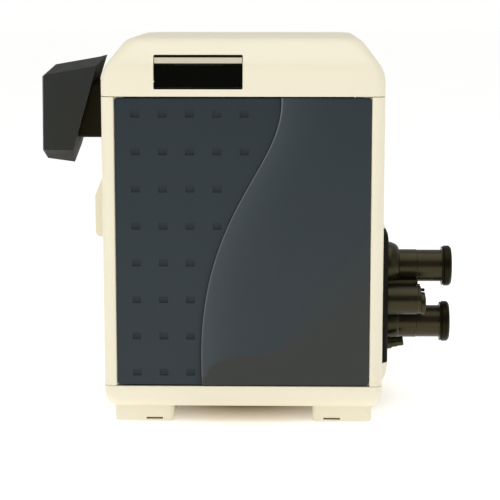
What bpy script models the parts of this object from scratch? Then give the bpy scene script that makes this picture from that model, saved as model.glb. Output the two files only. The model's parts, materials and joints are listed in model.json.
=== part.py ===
"""Gas-fired pool and spa water heater, modelled as the pieces it comes apart into.

The frame is in metres with +Z up. The origin is on the floor under the middle of the cabinet, the front
faces -Y, the exhaust hood stands out towards -X and the water ports towards +X. The sizes below are in
millimetres, and finish() turns them into metres.
"""

import math

import bmesh
import bpy
from mathutils import Matrix, Vector

MM = 0.001

# Driving sizes of the cabinet
HALF = 266.5  # half of the square cabinet's width and depth
FOOT_HEIGHT = 32.0
BASE_TOP = 74.6
LID_BOTTOM = 627.5
LID_TOP = 735.0
CORNER = 20.0  # plan radius of the cabinet's corners
FOOT_SPAN = (134.0, 247.0)  # near and far edge of each foot, from the middle
TRAY_FLOOR = FOOT_HEIGHT + 12.0
WALL = 3.0
GAP = 0.4  # clearance between neighbouring pieces
REACH = 409.4  # from the middle of the cabinet to the hood's outer face and to the upper port's end

# Openings and panels
PANEL_HALF = 240.5
PANEL_BOTTOM = BASE_TOP + 1.2
PANEL_TOP = LID_BOTTOM - 2.2
PANEL_BACK = -HALF + 7.5
PANEL_FACE = PANEL_BACK - WALL - 0.6
PANEL_CREST = -HALF + 0.6  # the raised field's highest line
LOUVRE_ROWS = (5, 5, 4, 4, 3, 3, 3, 3)  # dimples in each row, from the top
LOUVRE_LEFT = -202.0
LOUVRE_UPPER = 595.0
LOUVRE_PITCH_X = 51.2
LOUVRE_PITCH_Z = 70.6
LOUVRE_SIZE = (8.5, 7.5)  # half width and half height of a dimple
LOUVRE_DEPTH = 1.7
SWEEP = ((71.6, 628.0), (80.5, 486.0), (-99.2, 415.4), (-78.7, 73.0))  # handles of the raised edge, X and Z
REAR_HALF = 230.5
VENT_COLUMNS = (-120.0, 0.0, 120.0)
VENT_ROWS = 7
VENT_PITCH = 22.0

# Lid shapes: height where the upright face's line meets the slope's line, the slope's angle, and the radii
# of the shoulder below the slope and of the crown above it
LID_FRONT = (690.7, math.radians(49.0), 47.0, 40.6)
LID_SIDE = (672.7, math.radians(53.2), 62.9, 26.3)

# Control window in the lid
WINDOW_LEFT = -166.5
WINDOW_RIGHT = 0.0
WINDOW_BOTTOM = 641.0
WINDOW_TOP = 707.0
DOOR_TOP = 686.0
CONSOLE = (WINDOW_LEFT + 0.8, WINDOW_RIGHT - 0.8)
FASCIA_Y = -248.0
HINGE_Y = -257.0
KEY_Z = 656.0
KEY_PITCH = 20.0
KEY_WIDTH = 11.0
KEY_HEIGHT = 8.0

# Exhaust
FLUE_Y = -30.0
FLUE_Z = 579.0
FLUE_RADIUS = 38.0
HOOD_HALF = 70.0  # half of the hood's depth, front to back
DUCT_HALF = 48.0  # half of the depth of the duct behind the hood
DUCT_Z = (534.5, 644.5)
HOOD_WALL = 3.5
FLUE_WALL = 1.5
FLUE_ENTRY_Z = 175.0  # height of the opening in the tub

# Water side
PORT_Y = -90.0
UPPER_PORT_Z = 281.0
LOWER_PORT_Z = 168.5
LOWER_REACH = REACH - 2.4
PORT_JOINT = 341.8  # where the port pipes are joined to the manifold's stubs
UPPER_PASSAGE_Z = 270.0  # height of the header's upper passage
PORT_RADIUS = 32.5
PORT_BORE = 26.0
UPPER_ROOT = 48.0  # radius of the swelling where a port leaves the manifold
LOWER_ROOT = 38.0
COLLAR_RADIUS = 40.0
ROOT_LENGTH = 26.5
LIP_LENGTH = 18.5
REGULATOR_Y = -150.0
REGULATOR_Z = 222.0
REGULATOR_RADIUS = 28.5
REGULATOR_END = 346.0
CAP_Z = 215.5  # the cap sits a little below the middle of the housing
CAP_RADIUS = 22.5
CAP_BORE = 18.5
BOLT_Z = 242.5
BOLT_RADIUS = 3.4
DRAIN_Y = -136.0
DRAIN_Z = 134.0
DRAIN_ROOT = 290.0
DRAIN_RADIUS = 12.0
DRAIN_TILT = math.radians(8.0)  # the drain points slightly upwards
MANIFOLD_X = (196.3, 273.0)
MANIFOLD_Y = (-186.0, -30.0)
MANIFOLD_Z = (95.0, 335.0)
MANIFOLD_WALL = 8.0
PASSAGE_RADIUS = 24.0
PARTITION_Z = (213.0, 220.0)  # wall between the manifold's inlet and outlet chambers
BYPASS = (236.0, -70.0)  # axis of the bypass valve, X and Y
COVER_REACH = 280.0
COVER_FRONT = -204.0
COVER_REAR = 24.0
COVER_Z = (107.0, 371.0)  # seams between the dark cover and the almond surround
SURROUND_WALL = 1.6

# Combustion side
TUB_X = -60.0
TUB_Y = -90.0
TUB_RADIUS = 158.0
TUB_BOTTOM = 104.0
TUB_TOP = 400.0
HEADER_X = (112.0, 196.0)
TUBE_RADIUS = 9.0
TUBE_LOOP = 118.0
TUBE_COUNT = 5
TUBE_LOWEST = 140.0
TUBE_PITCH = 34.0
DOME_TOP = 446.0
DOME_PORT = 78.0  # from the tub's axis to the igniter and to the sight glass
BLOWER_Z = (448.0, 520.0)
BLOWER_RADIUS = 88.0
MIXER_Z = 488.0
MOTOR_TOP = 612.0
VALVE_LOW = (118.0, 60.0, 330.0)
VALVE_HIGH = (182.0, 150.0, 400.0)
VALVE_AXIS = ((VALVE_LOW[0] + VALVE_HIGH[0]) / 2, (VALVE_LOW[1] + VALVE_HIGH[1]) / 2)
GAS_INLET_Z = 140.0

PAINTS = {
    "almond_plastic": ((0.84, 0.78, 0.62), 0.42, 0.0),
    "slate_plastic": ((0.037, 0.047, 0.053), 0.38, 0.0),
    "black_plastic": ((0.030, 0.031, 0.026), 0.45, 0.0),
    "gloss_black": ((0.004, 0.005, 0.004), 0.08, 0.0),
    "label_film": ((0.55, 0.50, 0.40), 0.35, 0.3),
    "key_rubber": ((0.10, 0.11, 0.12), 0.60, 0.0),
    "screen_glass": ((0.12, 0.16, 0.13), 0.12, 0.0),
    "circuit_board": ((0.02, 0.12, 0.05), 0.50, 0.0),
    "sheet_steel": ((0.55, 0.56, 0.57), 0.35, 1.0),
    "copper": ((0.70, 0.33, 0.20), 0.30, 1.0),
    "brass": ((0.72, 0.55, 0.25), 0.30, 1.0),
    "cast_aluminium": ((0.60, 0.61, 0.62), 0.45, 1.0),
    "ceramic": ((0.80, 0.78, 0.73), 0.60, 0.0),
    "spring_steel": ((0.62, 0.63, 0.65), 0.22, 1.0),
}


def clear_scene():
    for old in list(bpy.data.objects):
        bpy.data.objects.remove(old, do_unlink=True)


def paint(name):
    """Return the named material, making it the first time."""
    made = bpy.data.materials.get(name)
    if made:
        return made
    colour, roughness, metallic = PAINTS[name]
    made = bpy.data.materials.new(name)
    made.use_nodes = True
    shader = made.node_tree.nodes["Principled BSDF"]
    shader.inputs["Base Color"].default_value = (*colour, 1.0)
    shader.inputs["Roughness"].default_value = roughness
    shader.inputs["Metallic"].default_value = metallic
    return made


# --- Outlines and rings ------------------------------------------------------------------------------------


def place(axis, u, v, along):
    """Put a flat point (u, v) at a distance along the X, Y or Z axis."""
    return {"X": (along, u, v), "Y": (u, along, v), "Z": (u, v, along)}[axis]


def arc(centre, radius, start, end, steps):
    """Points of an arc in degrees, both ends included. radius is a number or a pair of half axes."""
    wide, high = radius if isinstance(radius, tuple) else (radius, radius)
    turns = [math.radians(start + (end - start) * i / steps) for i in range(steps + 1)]
    return [(centre[0] + wide * math.cos(t), centre[1] + high * math.sin(t)) for t in turns]


def rounded(low, high, radius, steps=4):
    """Outline of a rectangle with rounded corners, anticlockwise from its lower right."""
    (left, bottom), (right, top) = low, high
    corners = (
        ((right - radius, bottom + radius), -90),
        ((right - radius, top - radius), 0),
        ((left + radius, top - radius), 90),
        ((left + radius, bottom + radius), 180),
    )
    outline = []
    for centre, turn in corners:
        outline += arc(centre, radius, turn, turn + 90, steps)
    return outline


def cabinet_plan(inset, z, radius=CORNER):
    """The cabinet's plan outline, pulled in by inset, at height z."""
    half = HALF - inset
    return [(x, y, z) for x, y in rounded((-half, -half), (half, half), radius, 5)]


def circle(axis, centre, radius, along, sides):
    """A ring round a line parallel to an axis. centre holds the two other coordinates."""
    turns = [2 * math.pi * i / sides for i in range(sides)]
    return [
        place(axis, centre[0] + radius * math.cos(t), centre[1] + radius * math.sin(t), along) for t in turns
    ]


def cubic(handles, t):
    """A point of a cubic curve."""
    weights = ((1 - t) ** 3, 3 * (1 - t) ** 2 * t, 3 * (1 - t) * t * t, t**3)
    return tuple(sum(w * h[k] for w, h in zip(weights, handles)) for k in (0, 1))


def strip(path, thickness):
    """Outline of a sheet of even thickness that follows a path of flat points."""
    sides = ([], [])
    for i, point in enumerate(path):
        before = Vector(path[max(i - 1, 0)])
        after = Vector(path[min(i + 1, len(path) - 1)])
        here = Vector(point)
        arrive = (here - before).normalized() if i else (after - here).normalized()
        leave = (after - here).normalized() if i < len(path) - 1 else arrive
        bisector = (arrive + leave).normalized()
        normal = Vector((-bisector.y, bisector.x))
        reach = thickness / 2 / max(normal.dot(Vector((-arrive.y, arrive.x))), 0.3)
        sides[0].append(tuple(here + normal * reach))
        sides[1].append(tuple(here - normal * reach))
    return sides[0] + sides[1][::-1]


# --- Bodies ------------------------------------------------------------------------------------------------


def loft(rings, closed=False):
    """A body skinned over rings with equally many points: capped at both ends, or joined end to end."""
    bm = bmesh.new()
    loops = [[bm.verts.new(point) for point in ring] for ring in rings]
    pairs = list(zip(loops, loops[1:]))
    if closed:
        pairs.append((loops[-1], loops[0]))
    for first, second in pairs:
        for i in range(len(first)):
            j = (i + 1) % len(first)
            bm.faces.new((first[i], first[j], second[j], second[i]))
    if not closed:
        bm.faces.new(loops[0])
        bm.faces.new(loops[-1])
    return bm


def prism(axis, outline, start, end):
    return loft([[place(axis, u, v, along) for u, v in outline] for along in (start, end)])


def block(low, high, radius=0.0, axis="Z"):
    """A box, with the edges along one axis rounded if a radius is given."""
    u, v, w = {"X": (1, 2, 0), "Y": (0, 2, 1), "Z": (0, 1, 2)}[axis]
    if radius:
        outline = rounded((low[u], low[v]), (high[u], high[v]), radius)
    else:
        outline = [(low[u], low[v]), (high[u], low[v]), (high[u], high[v]), (low[u], high[v])]
    return prism(axis, outline, low[w], high[w])


def turned(axis, centre, profile, sides=24, closed=False):
    """A turned body. profile lists (distance along the axis, radius)."""
    return loft([circle(axis, centre, radius, along, sides) for along, radius in profile], closed)


def pipe(path, radius, sides=12, bore=None):
    """A round bar along a path of points, or a tube if it has a bore."""
    points = [Vector(p) for p in path]
    frames = []
    across = None
    for i, point in enumerate(points):
        arrive = (point - points[i - 1]).normalized() if i else (points[1] - point).normalized()
        leave = (points[i + 1] - point).normalized() if i < len(points) - 1 else arrive
        forward = (arrive + leave).normalized()
        if across is None:
            across = forward.orthogonal().normalized()
        across = (across - forward * across.dot(forward)).normalized()
        frames.append((point, across, forward.cross(across)))

    def ring(frame, size):
        point, one, two = frame
        turns = [2 * math.pi * k / sides for k in range(sides)]
        return [tuple(point + one * size * math.cos(t) + two * size * math.sin(t)) for t in turns]

    outer = [ring(frame, radius) for frame in frames]
    if bore is None:
        return loft(outer)
    inner = [ring(frame, bore) for frame in reversed(frames)]
    return loft(outer + inner, closed=True)


def merged(bodies):
    """Several bodies in one mesh, for use as one cutter or one addition."""
    whole = bmesh.new()
    for bm in bodies:
        mesh = bpy.data.meshes.new("merged")
        bmesh.ops.recalc_face_normals(bm, faces=bm.faces)
        bm.to_mesh(mesh)
        bm.free()
        whole.from_mesh(mesh)
        bpy.data.meshes.remove(mesh)
    return whole


def finish(name, bm, material, pivot=(0.0, 0.0, 0.0)):
    """Turn a body in millimetres into a named object whose origin is at its pivot."""
    pivot = Vector(pivot)
    bmesh.ops.recalc_face_normals(bm, faces=bm.faces)
    for vert in bm.verts:
        vert.co = (vert.co - pivot) * MM
    mesh = bpy.data.meshes.new(name)
    bm.to_mesh(mesh)
    bm.free()
    mesh.shade_smooth()
    mesh.set_sharp_from_angle(angle=math.radians(35))
    mesh.materials.append(paint(material))
    made = bpy.data.objects.new(name, mesh)
    made.location = pivot * MM
    bpy.context.collection.objects.link(made)
    return made


def combine(target, operation, bodies):
    """Cut bodies out of an object, or join them to it."""
    tool = finish(f"{target.name}_{operation.lower()}", merged(bodies), target.data.materials[0].name)
    tool.hide_render = True
    tool.display_type = "WIRE"
    step = target.modifiers.new(operation.title(), "BOOLEAN")
    step.operation = operation
    step.solver = "EXACT"
    step.use_self = len(bodies) > 1
    step.object = tool
    return target


def cut(target, *bodies):
    return combine(target, "DIFFERENCE", bodies)


def join(target, *bodies):
    return combine(target, "UNION", bodies)


# --- Cabinet -----------------------------------------------------------------------------------------------


def base_pan():
    """Tray with a rounded lower edge, standing on four slotted feet."""
    edge_in, edge_up = 19.0, 38.0
    turns = [math.radians(15 * i) for i in range(7)]
    rings = [
        cabinet_plan(edge_in * (1 - math.sin(t)), FOOT_HEIGHT + edge_up * (1 - math.cos(t))) for t in turns
    ]
    rim = BASE_TOP - GAP
    rings += [cabinet_plan(0, rim), cabinet_plan(4, rim, CORNER - 4)]
    rings += [cabinet_plan(4, TRAY_FLOOR + 16, CORNER - 4), cabinet_plan(14, TRAY_FLOOR, CORNER - 8)]
    base = finish("base_pan", loft(rings), "almond_plastic")
    inner, outer = FOOT_SPAN
    feet = []
    slots = []
    for side_x in (-1, 1):
        for side_y in (-1, 1):
            xs = sorted((side_x * inner, side_x * outer))
            ys = sorted((side_y * inner, side_y * outer))
            feet.append(block((xs[0], ys[0], 0), (xs[1], ys[1], FOOT_HEIGHT + 6), 9))
            xs = sorted((side_x * 155, side_x * 187))
            ys = sorted((side_y * (outer - 22), side_y * (outer + 20)))
            slots.append(block((xs[0], ys[0], 4), (xs[1], ys[1], 8.5)))
    join(base, *feet)
    cut(base, *slots)


def side_panel(name, side):
    """Folded side of the cabinet, wrapped round both corners to form the posts."""
    face = HALF - WALL / 2
    middle = PANEL_HALF + 1 + WALL / 2
    bend = CORNER - WALL / 2
    ledge = PANEL_BACK + GAP + WALL / 2
    path = [(middle - 18, ledge), (middle, ledge), (middle, -face)]
    path += arc((face - bend, bend - face), bend, -90, 0, 5)
    path += arc((face - bend, face - bend), bend, 0, 90, 5)
    path.append((232.0, face))
    outline = [(side * x, y) for x, y in strip(path, WALL)]
    return finish(name, prism("Z", outline, BASE_TOP + GAP, LID_BOTTOM - 1.0), "almond_plastic")


def side_panels():
    left = side_panel("left_side_panel", -1)
    cut(
        left,
        turned("X", (FLUE_Y, FLUE_Z), [(-HALF - 20, FLUE_RADIUS + 3), (-HALF + 20, FLUE_RADIUS + 3)]),
        block((-HALF - 20, -90, 352), (-HALF + 20, 90, 440), 10, "X"),
    )
    right = side_panel("right_side_panel", 1)
    cut(right, block((HALF - 20, -195, 90), (HALF + 20, -20, 345), 10, "X"))


def connection_bulge(inset):
    """Swelling of the right side round the water ports, or the same form pulled in on all sides."""
    wall = HALF + GAP
    stations = (
        (-4, 0, 71, 384),
        (2.5, 1, 71, 383.5),
        (6, 4, 73.5, 371),
        (9, 7, 78.5, 364),
        (11.5, 10, 84, 359),
        (COVER_REACH - wall, 14, 96, 350),
    )
    rings = []
    for out, shrink, bottom, top in stations:
        low = (COVER_FRONT + shrink + inset, bottom + inset)
        high = (COVER_REAR - shrink - inset, top - inset)
        rings.append([place("X", u, v, wall + out) for u, v in rounded(low, high, 12)])
    return rings


def bulge_body(inset, start):
    """The swelling as a body, from a distance off the side panel outwards."""
    crest = COVER_REACH - inset
    rings = connection_bulge(inset)
    last = [(crest, y, z) for _, y, z in rings[-1]]
    rings = [ring for ring in rings if ring[0][0] < crest - 0.1] + [last]
    rings[0] = [(start, y, z) for _, y, z in rings[0]]
    return loft(rings)


def connection_surround():
    """Almond frame on the right side: a shelf below the dark cover, a sloping brow above it."""
    wall = HALF + GAP
    flange = wall + SURROUND_WALL
    surround = finish("connection_surround", bulge_body(0, wall), "almond_plastic")
    cut(
        surround,
        block((flange, COVER_FRONT - 10, COVER_Z[0]), (COVER_REACH + 10, COVER_REAR + 10, COVER_Z[1])),
        block((wall - 5, COVER_FRONT + 8, COVER_Z[0] - 20), (flange + 2, COVER_REAR - 8, COVER_Z[1] - 12)),
    )
    shelf_low = (wall + WALL, COVER_FRONT + 12, 84)
    shelf_high = (COVER_REACH - WALL, COVER_REAR - 12, COVER_Z[0] + 10)
    cut(surround, block(shelf_low, shelf_high))


def front_panel():
    """Removable door: flat field with rows of dimples on the left, raised field on the right."""
    sheet = block((-PANEL_HALF, PANEL_FACE, PANEL_BOTTOM), (PANEL_HALF, PANEL_BACK, PANEL_TOP), 5, "Y")
    panel = finish("front_panel", sheet, "slate_plastic")
    edge = [cubic(SWEEP, i / 20) for i in range(21)]
    inside = PANEL_FACE + 1
    lowest, highest, right = PANEL_BOTTOM + 0.5, PANEL_TOP - 0.5, PANEL_HALF - 0.5
    edge = [(x, min(max(z, lowest), highest)) for x, z in edge]
    root = [(x, inside, z) for x, z in edge] + [(right, inside, lowest), (right, inside, highest)]
    crest = [(x + 4, PANEL_CREST, z) for x, z in edge]
    crest += [(right - 2, PANEL_CREST + 2, lowest), (right - 2, PANEL_CREST + 2, highest)]
    join(panel, loft([root, crest]))
    dimples = []
    for row, count in enumerate(LOUVRE_ROWS):
        for column in range(count):
            x = LOUVRE_LEFT + LOUVRE_PITCH_X * column
            z = LOUVRE_UPPER - LOUVRE_PITCH_Z * row
            dimples.append(louvre_dimple(x, z))
    cut(panel, *dimples)


def louvre_dimple(x, z):
    """Cutter for one dimple: shallow along its top edge, deep along its sloping lower edge."""
    half_x, half_z = LOUVRE_SIZE
    outside, shallow, deep = PANEL_FACE - 0.5, PANEL_FACE + 0.3, PANEL_FACE + LOUVRE_DEPTH
    left, right, bottom, top = x - half_x, x + half_x, z - half_z, z + half_z
    face = [(left, outside, bottom), (right, outside, bottom), (right, outside, top), (left, outside, top)]
    floor = [(left + 0.8, deep, bottom + 2.4), (right - 0.8, deep, bottom + 2.4)]
    floor += [(right - 0.8, shallow, top - 0.8), (left + 0.8, shallow, top - 0.8)]
    return loft([face, floor])


def rear_panel():
    """Flat back of the cabinet with ventilation slots and a hole for the gas pipe."""
    back = finish(
        "rear_panel",
        block((-REAR_HALF, HALF - WALL, PANEL_BOTTOM), (REAR_HALF, HALF, PANEL_TOP), 5, "Y"),
        "slate_plastic",
    )
    slots = []
    for column in VENT_COLUMNS:
        for row in range(VENT_ROWS):
            z = 440 + VENT_PITCH * row
            slots.append(block((column - 45, HALF - 20, z), (column + 45, HALF + 20, z + 7)))
    slots.append(turned("Y", (VALVE_AXIS[0], GAS_INLET_Z), [(HALF - 20, 15), (HALF + 20, 15)]))
    cut(back, *slots)


def lid_arcs(shape, offset):
    """The lid's shoulder and crown for one shape: centre height, radius and centre inset of each arc."""
    shoulder_z, slope, shoulder, crown = shape
    low = shoulder_z - shoulder * math.tan((math.pi / 2 - slope) / 2)
    run = (LID_TOP - shoulder_z) / math.tan(slope) + crown * math.tan(slope / 2)
    return (low, shoulder - offset, shoulder), (LID_TOP - crown, crown - offset, run)


def lid_inset(shape, z, offset):
    """How far the lid's surface lies inside the cabinet's outline at height z."""
    slope = shape[1]
    (low, shoulder, shoulder_in), (high, crown, crown_in) = lid_arcs(shape, offset)
    if z <= low:
        return offset
    if z < low + shoulder * math.cos(slope):
        return shoulder_in - math.sqrt(shoulder**2 - (z - low) ** 2)
    if z > high + crown * math.cos(slope):
        return crown_in - math.sqrt(max(crown**2 - (z - high) ** 2, 0.0))
    return shoulder_in - shoulder * math.sin(slope) + (z - low - shoulder * math.cos(slope)) / math.tan(slope)


def lid_heights(offset, steps=4):
    """Heights of the lid's cross-sections, dense where either shape curves."""
    heights = {LID_BOTTOM}
    for shape in (LID_FRONT, LID_SIDE):
        turn = math.pi / 2 - shape[1]
        (low, shoulder, _), (high, crown, _) = lid_arcs(shape, offset)
        for i in range(steps + 1):
            share = i / steps
            heights.add(low + shoulder * math.sin(turn * share))
            heights.add(high + crown * math.sin(turn + (math.pi / 2 - turn) * share))
    kept = []
    for z in sorted(heights, reverse=True):
        if not kept or kept[-1] - z > 0.5:
            kept.append(z)
    return kept[::-1]


def lid_ring(z, offset, radius):
    """Plan outline of the lid at height z."""
    front_in = lid_inset(LID_FRONT, z, offset)
    side, front = HALF - lid_inset(LID_SIDE, z, offset), HALF - front_in
    return [(x, y, z) for x, y in rounded((-side, -front), (side, front), radius + 0.35 * front_in, 5)]


def top_lid():
    """Hipped lid, one shell, with the window for the controls."""
    outer = [lid_ring(z, 0.0, CORNER) for z in lid_heights(0.0)]
    inner = [lid_ring(z, WALL, CORNER - 2) for z in lid_heights(WALL)]
    lid = finish("top_lid", loft(outer[::-1] + inner), "almond_plastic")
    window_low = (WINDOW_LEFT, -HALF - 20, WINDOW_BOTTOM)
    window_high = (WINDOW_RIGHT, -HALF + 45, WINDOW_TOP)
    cut(lid, block(window_low, window_high, 3, "Y"))


def air_intake_cowl():
    """Almond cowl over the air inlet in the left side."""
    wall, outer = -HALF - GAP, -297.0
    outline = [(wall, 478), (-279, 466), (outer, 421)]
    outline += arc((outer + 10, 349), 10, 180, 270, 4)
    outline.append((wall, 339))
    cowl = finish("air_intake_cowl", prism("Y", outline, -104, 104), "almond_plastic")
    pocket = [(wall + 10, 470), (wall - 2, 470), (-277, 460), (outer + WALL, 418), (outer + WALL, 330)]
    pocket.append((wall + 10, 330))
    cut(cowl, prism("Y", pocket, -101, 101))


def water_connection_cover():
    """Dark bulging cover where the water manifold comes out of the right side."""
    start = HALF + GAP + SURROUND_WALL + GAP
    cover = finish("water_connection_cover", bulge_body(0, start), "slate_plastic")
    front, rear = COVER_FRONT - 10, COVER_REAR + 10
    cut(
        cover,
        block((HALF, front, 0), (REACH, rear, COVER_Z[0] + GAP)),
        block((HALF, front, COVER_Z[1] - GAP), (REACH, rear, 500)),
    )
    cut(cover, bulge_body(WALL, start - 10))
    ends = (COVER_REACH - 30, COVER_REACH + 20)

    def hole(y, z, radius):
        return turned("X", (y, z), [(end, radius + 0.8) for end in ends], 32)

    cut(
        cover,
        hole(PORT_Y, UPPER_PORT_Z, UPPER_ROOT),
        hole(PORT_Y, LOWER_PORT_Z, LOWER_ROOT),
        hole(REGULATOR_Y, REGULATOR_Z, REGULATOR_RADIUS),
        hole(DRAIN_Y, DRAIN_Z - 1, 14),
    )


# --- Exhaust -----------------------------------------------------------------------------------------------


def hood_body(inset):
    """The hood's outer form, ridged halfway back, or the same form pulled in on all sides."""
    face = [(-398, 513), (-395.5, 656), (-391.5, 659.5), (-299, 675.5), (-291, 677)]
    face += [(-339, 511), (-395, 511.5)]
    ridge = [(-REACH, 504.5), (-408, 653), (-380, 677), (-291, 692.5), (-276.5, 696.5)]
    ridge += [(-345, 481), (-399.5, 488.5)]
    centre_x, centre_z, half_width = -352.0, 588.0, 62.0

    def ring(outline, y):
        shrink = 1 - inset / half_width
        return [
            (centre_x + (x - centre_x) * shrink, FLUE_Y + y, centre_z + (z - centre_z) * shrink)
            for x, z in outline
        ]

    depth = HOOD_HALF - inset
    return loft([ring(face, -depth), ring(ridge, 0), ring(face, depth)])


def exhaust_hood():
    """Ridged hood that turns the flue gas down and away from the cabinet."""
    hood = finish("exhaust_hood", hood_body(0), "black_plastic")
    cut(hood, hood_body(HOOD_WALL))
    duct = DUCT_HALF + 1
    outlet = block((-394, FLUE_Y + 2, 460), (-350, FLUE_Y + HOOD_HALF - 10, 530), 4)
    inlet = block((-345, FLUE_Y - duct, DUCT_Z[0] - 1), (-260, FLUE_Y + duct, DUCT_Z[1] + 1), 4, "X")
    cut(hood, outlet, inlet)


def exhaust_collar():
    """Rectangular duct between the hood and the side of the cabinet, with a wall flange."""
    inner, outer = -HALF - GAP, -342.0

    def ring(x, grow):
        low = (FLUE_Y - DUCT_HALF - grow, DUCT_Z[0] - grow)
        high = (FLUE_Y + DUCT_HALF + grow, DUCT_Z[1] + grow)
        return [place("X", u, v, x) for u, v in rounded(low, high, 5)]

    rings = [ring(outer, 0), ring(inner - 3, 0), ring(inner - 3, 4), ring(inner, 4), ring(inner, -3)]
    rings.append(ring(outer, -3))
    finish("exhaust_collar", loft(rings, closed=True), "black_plastic")


def flue_pipe():
    """Flue from the back of the heat-exchanger tub up and out through the left side."""
    rear = TUB_Y + TUB_RADIUS + 3
    path = [(TUB_X, rear, FLUE_ENTRY_Z), (TUB_X, 150, FLUE_ENTRY_Z), (TUB_X, 162, FLUE_ENTRY_Z + 15)]
    path.append((TUB_X, 162, FLUE_Z - 20))
    path += [(TUB_X - 20, 150, FLUE_Z), (-180, FLUE_Y + 20, FLUE_Z), (-200, FLUE_Y, FLUE_Z)]
    path.append((-300, FLUE_Y, FLUE_Z))
    finish("flue_pipe", pipe(path, FLUE_RADIUS, 14, FLUE_RADIUS - FLUE_WALL), "sheet_steel")


# --- Controls in the lid -----------------------------------------------------------------------------------


def control_bezel():
    """Black tray that lines the window and carries the controls."""
    outline = [(-258, 643.5), (-232, 643.5), (-232, 704.3), (-250.6, 704.3), (-253.6, 692), (-258, 664)]
    tray = finish("control_bezel", prism("X", outline, *CONSOLE), "black_plastic")
    pocket = [(-270, 646.5), (-235, 646.5), (-235, 701), (-251.6, 701), (-270, 680)]
    cut(tray, prism("X", pocket, CONSOLE[0] + 3, CONSOLE[1] - 3))


def label_strip():
    """Plain strip above the door, lying along the lid's slope."""
    outline = [(-261.2, 689.4), (-257.0, 699.8), (-255.7, 699.3), (-259.9, 688.9)]
    finish("label_strip", prism("X", outline, CONSOLE[0] + 0.4, CONSOLE[1] - 0.4), "label_film")


def display_door():
    """Smoked flap over the keys, hinged along its upper edge."""
    path = [(-263.2, 644.0), (HINGE_Y + 0.4, DOOR_TOP - 0.6)]
    outline = strip(path, 2.4)
    door = prism("X", outline, CONSOLE[0] + 0.4, CONSOLE[1] - 0.4)
    finish("display_door", door, "gloss_black", ((CONSOLE[0] + CONSOLE[1]) / 2, HINGE_Y, DOOR_TOP))


def key_places():
    """Centres of the six keys in X and Z, by name."""
    names = ("pool", "spa", "off", "menu", "up", "down")
    first, extra = -124.0, 12.0  # the last two keys stand a little apart
    places = {}
    for i, name in enumerate(names):
        places[f"key_{name}"] = (first + KEY_PITCH * i + (extra if i > 3 else 0), KEY_Z)
    return places


def control_fascia():
    sheet = block((CONSOLE[0] + 4, FASCIA_Y, 648), (CONSOLE[1] - 4, FASCIA_Y + 2, 690), 2, "Y")
    fascia = finish("control_fascia", sheet, "black_plastic")
    holes = []
    for x, z in key_places().values():
        half_x, half_z = KEY_WIDTH / 2 + GAP, KEY_HEIGHT / 2 + GAP
        holes.append(block((x - half_x, FASCIA_Y - 10, z - half_z), (x + half_x, FASCIA_Y + 12, z + half_z)))
    cut(fascia, *holes)


def control_keys():
    for name, (x, z) in key_places().items():
        low = (x - KEY_WIDTH / 2, FASCIA_Y - 2.5, z - KEY_HEIGHT / 2)
        high = (x + KEY_WIDTH / 2, FASCIA_Y + 5.5, z + KEY_HEIGHT / 2)
        finish(name, block(low, high, 2, "Y"), "key_rubber", (x, FASCIA_Y, z))


def display_screen():
    glass = block((-130, FASCIA_Y - 2, 667), (-36, FASCIA_Y - GAP, 686), 2, "Y")
    finish("display_screen", glass, "screen_glass")


def control_board():
    front = FASCIA_Y + 7.5
    board = block((CONSOLE[0] + 6, front, 649), (CONSOLE[1] - 6, front + 1.6, 689))
    finish("control_board", board, "circuit_board")


# --- Burner, blower and heat exchanger ---------------------------------------------------------------------


def heat_exchanger_tub():
    """Steel tub round the tubes, open at the top, with openings for the header and the flue."""
    inner = TUB_RADIUS - 2.5
    profile = [(TUB_BOTTOM, TUB_RADIUS), (TUB_TOP - 3, TUB_RADIUS), (TUB_TOP - 3, TUB_RADIUS + 8)]
    profile += [(TUB_TOP, TUB_RADIUS + 8), (TUB_TOP, inner), (TUB_BOTTOM + 3, inner)]
    tub = finish("heat_exchanger_tub", turned("Z", (TUB_X, TUB_Y), profile, 28), "sheet_steel")
    rails = []
    rest = TRAY_FLOOR + GAP
    for y in (TUB_Y - 70, TUB_Y + 70):
        rails.append(block((TUB_X - 110, y - 8, rest), (TUB_X + 110, y + 8, TUB_BOTTOM + 2)))
    join(tub, *rails)
    highest = TUBE_LOWEST + TUBE_PITCH * (TUBE_COUNT - 1)
    cut(
        tub,
        block((TUB_X + 60, TUB_Y - 62, TUBE_LOWEST - 14), (TUB_X + 200, TUB_Y + 62, highest + 14)),
        turned("Y", (TUB_X, FLUE_ENTRY_Z), [(TUB_Y + 100, FLUE_RADIUS), (TUB_Y + 200, FLUE_RADIUS)]),
    )


def heat_exchanger_tubes():
    """Stacked copper tubes, each one loop that starts and ends in the header."""
    gap_angle = 25.0
    offset = TUBE_LOOP * math.sin(math.radians(gap_angle))
    for i in range(TUBE_COUNT):
        z = TUBE_LOWEST + TUBE_PITCH * i
        loop = arc((TUB_X, TUB_Y), TUBE_LOOP, gap_angle, 360 - gap_angle, 16)
        entry = (HEADER_X[0] - GAP, TUB_Y + offset)
        leave = (HEADER_X[0] - GAP, TUB_Y - offset)
        path = [(x, y, z) for x, y in [entry] + loop + [leave]]
        finish(f"heat_exchanger_tube_{i + 1}", pipe(path, TUBE_RADIUS, 8), "copper")


def tube_header():
    """Brass header block that collects the tubes, with the inlet and outlet passages on its outer face."""
    low = (HEADER_X[0], TUB_Y - 72, 110)
    high = (HEADER_X[1], TUB_Y + 72, 310)
    header = finish("tube_header", block(low, high, 8, "X"), "brass")
    passages = [
        turned("X", (PORT_Y, z), [(HEADER_X[0] + 30, PASSAGE_RADIUS), (HEADER_X[1] + 20, PASSAGE_RADIUS)], 16)
        for z in (LOWER_PORT_Z, UPPER_PASSAGE_Z)
    ]
    cut(header, *passages)


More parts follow.
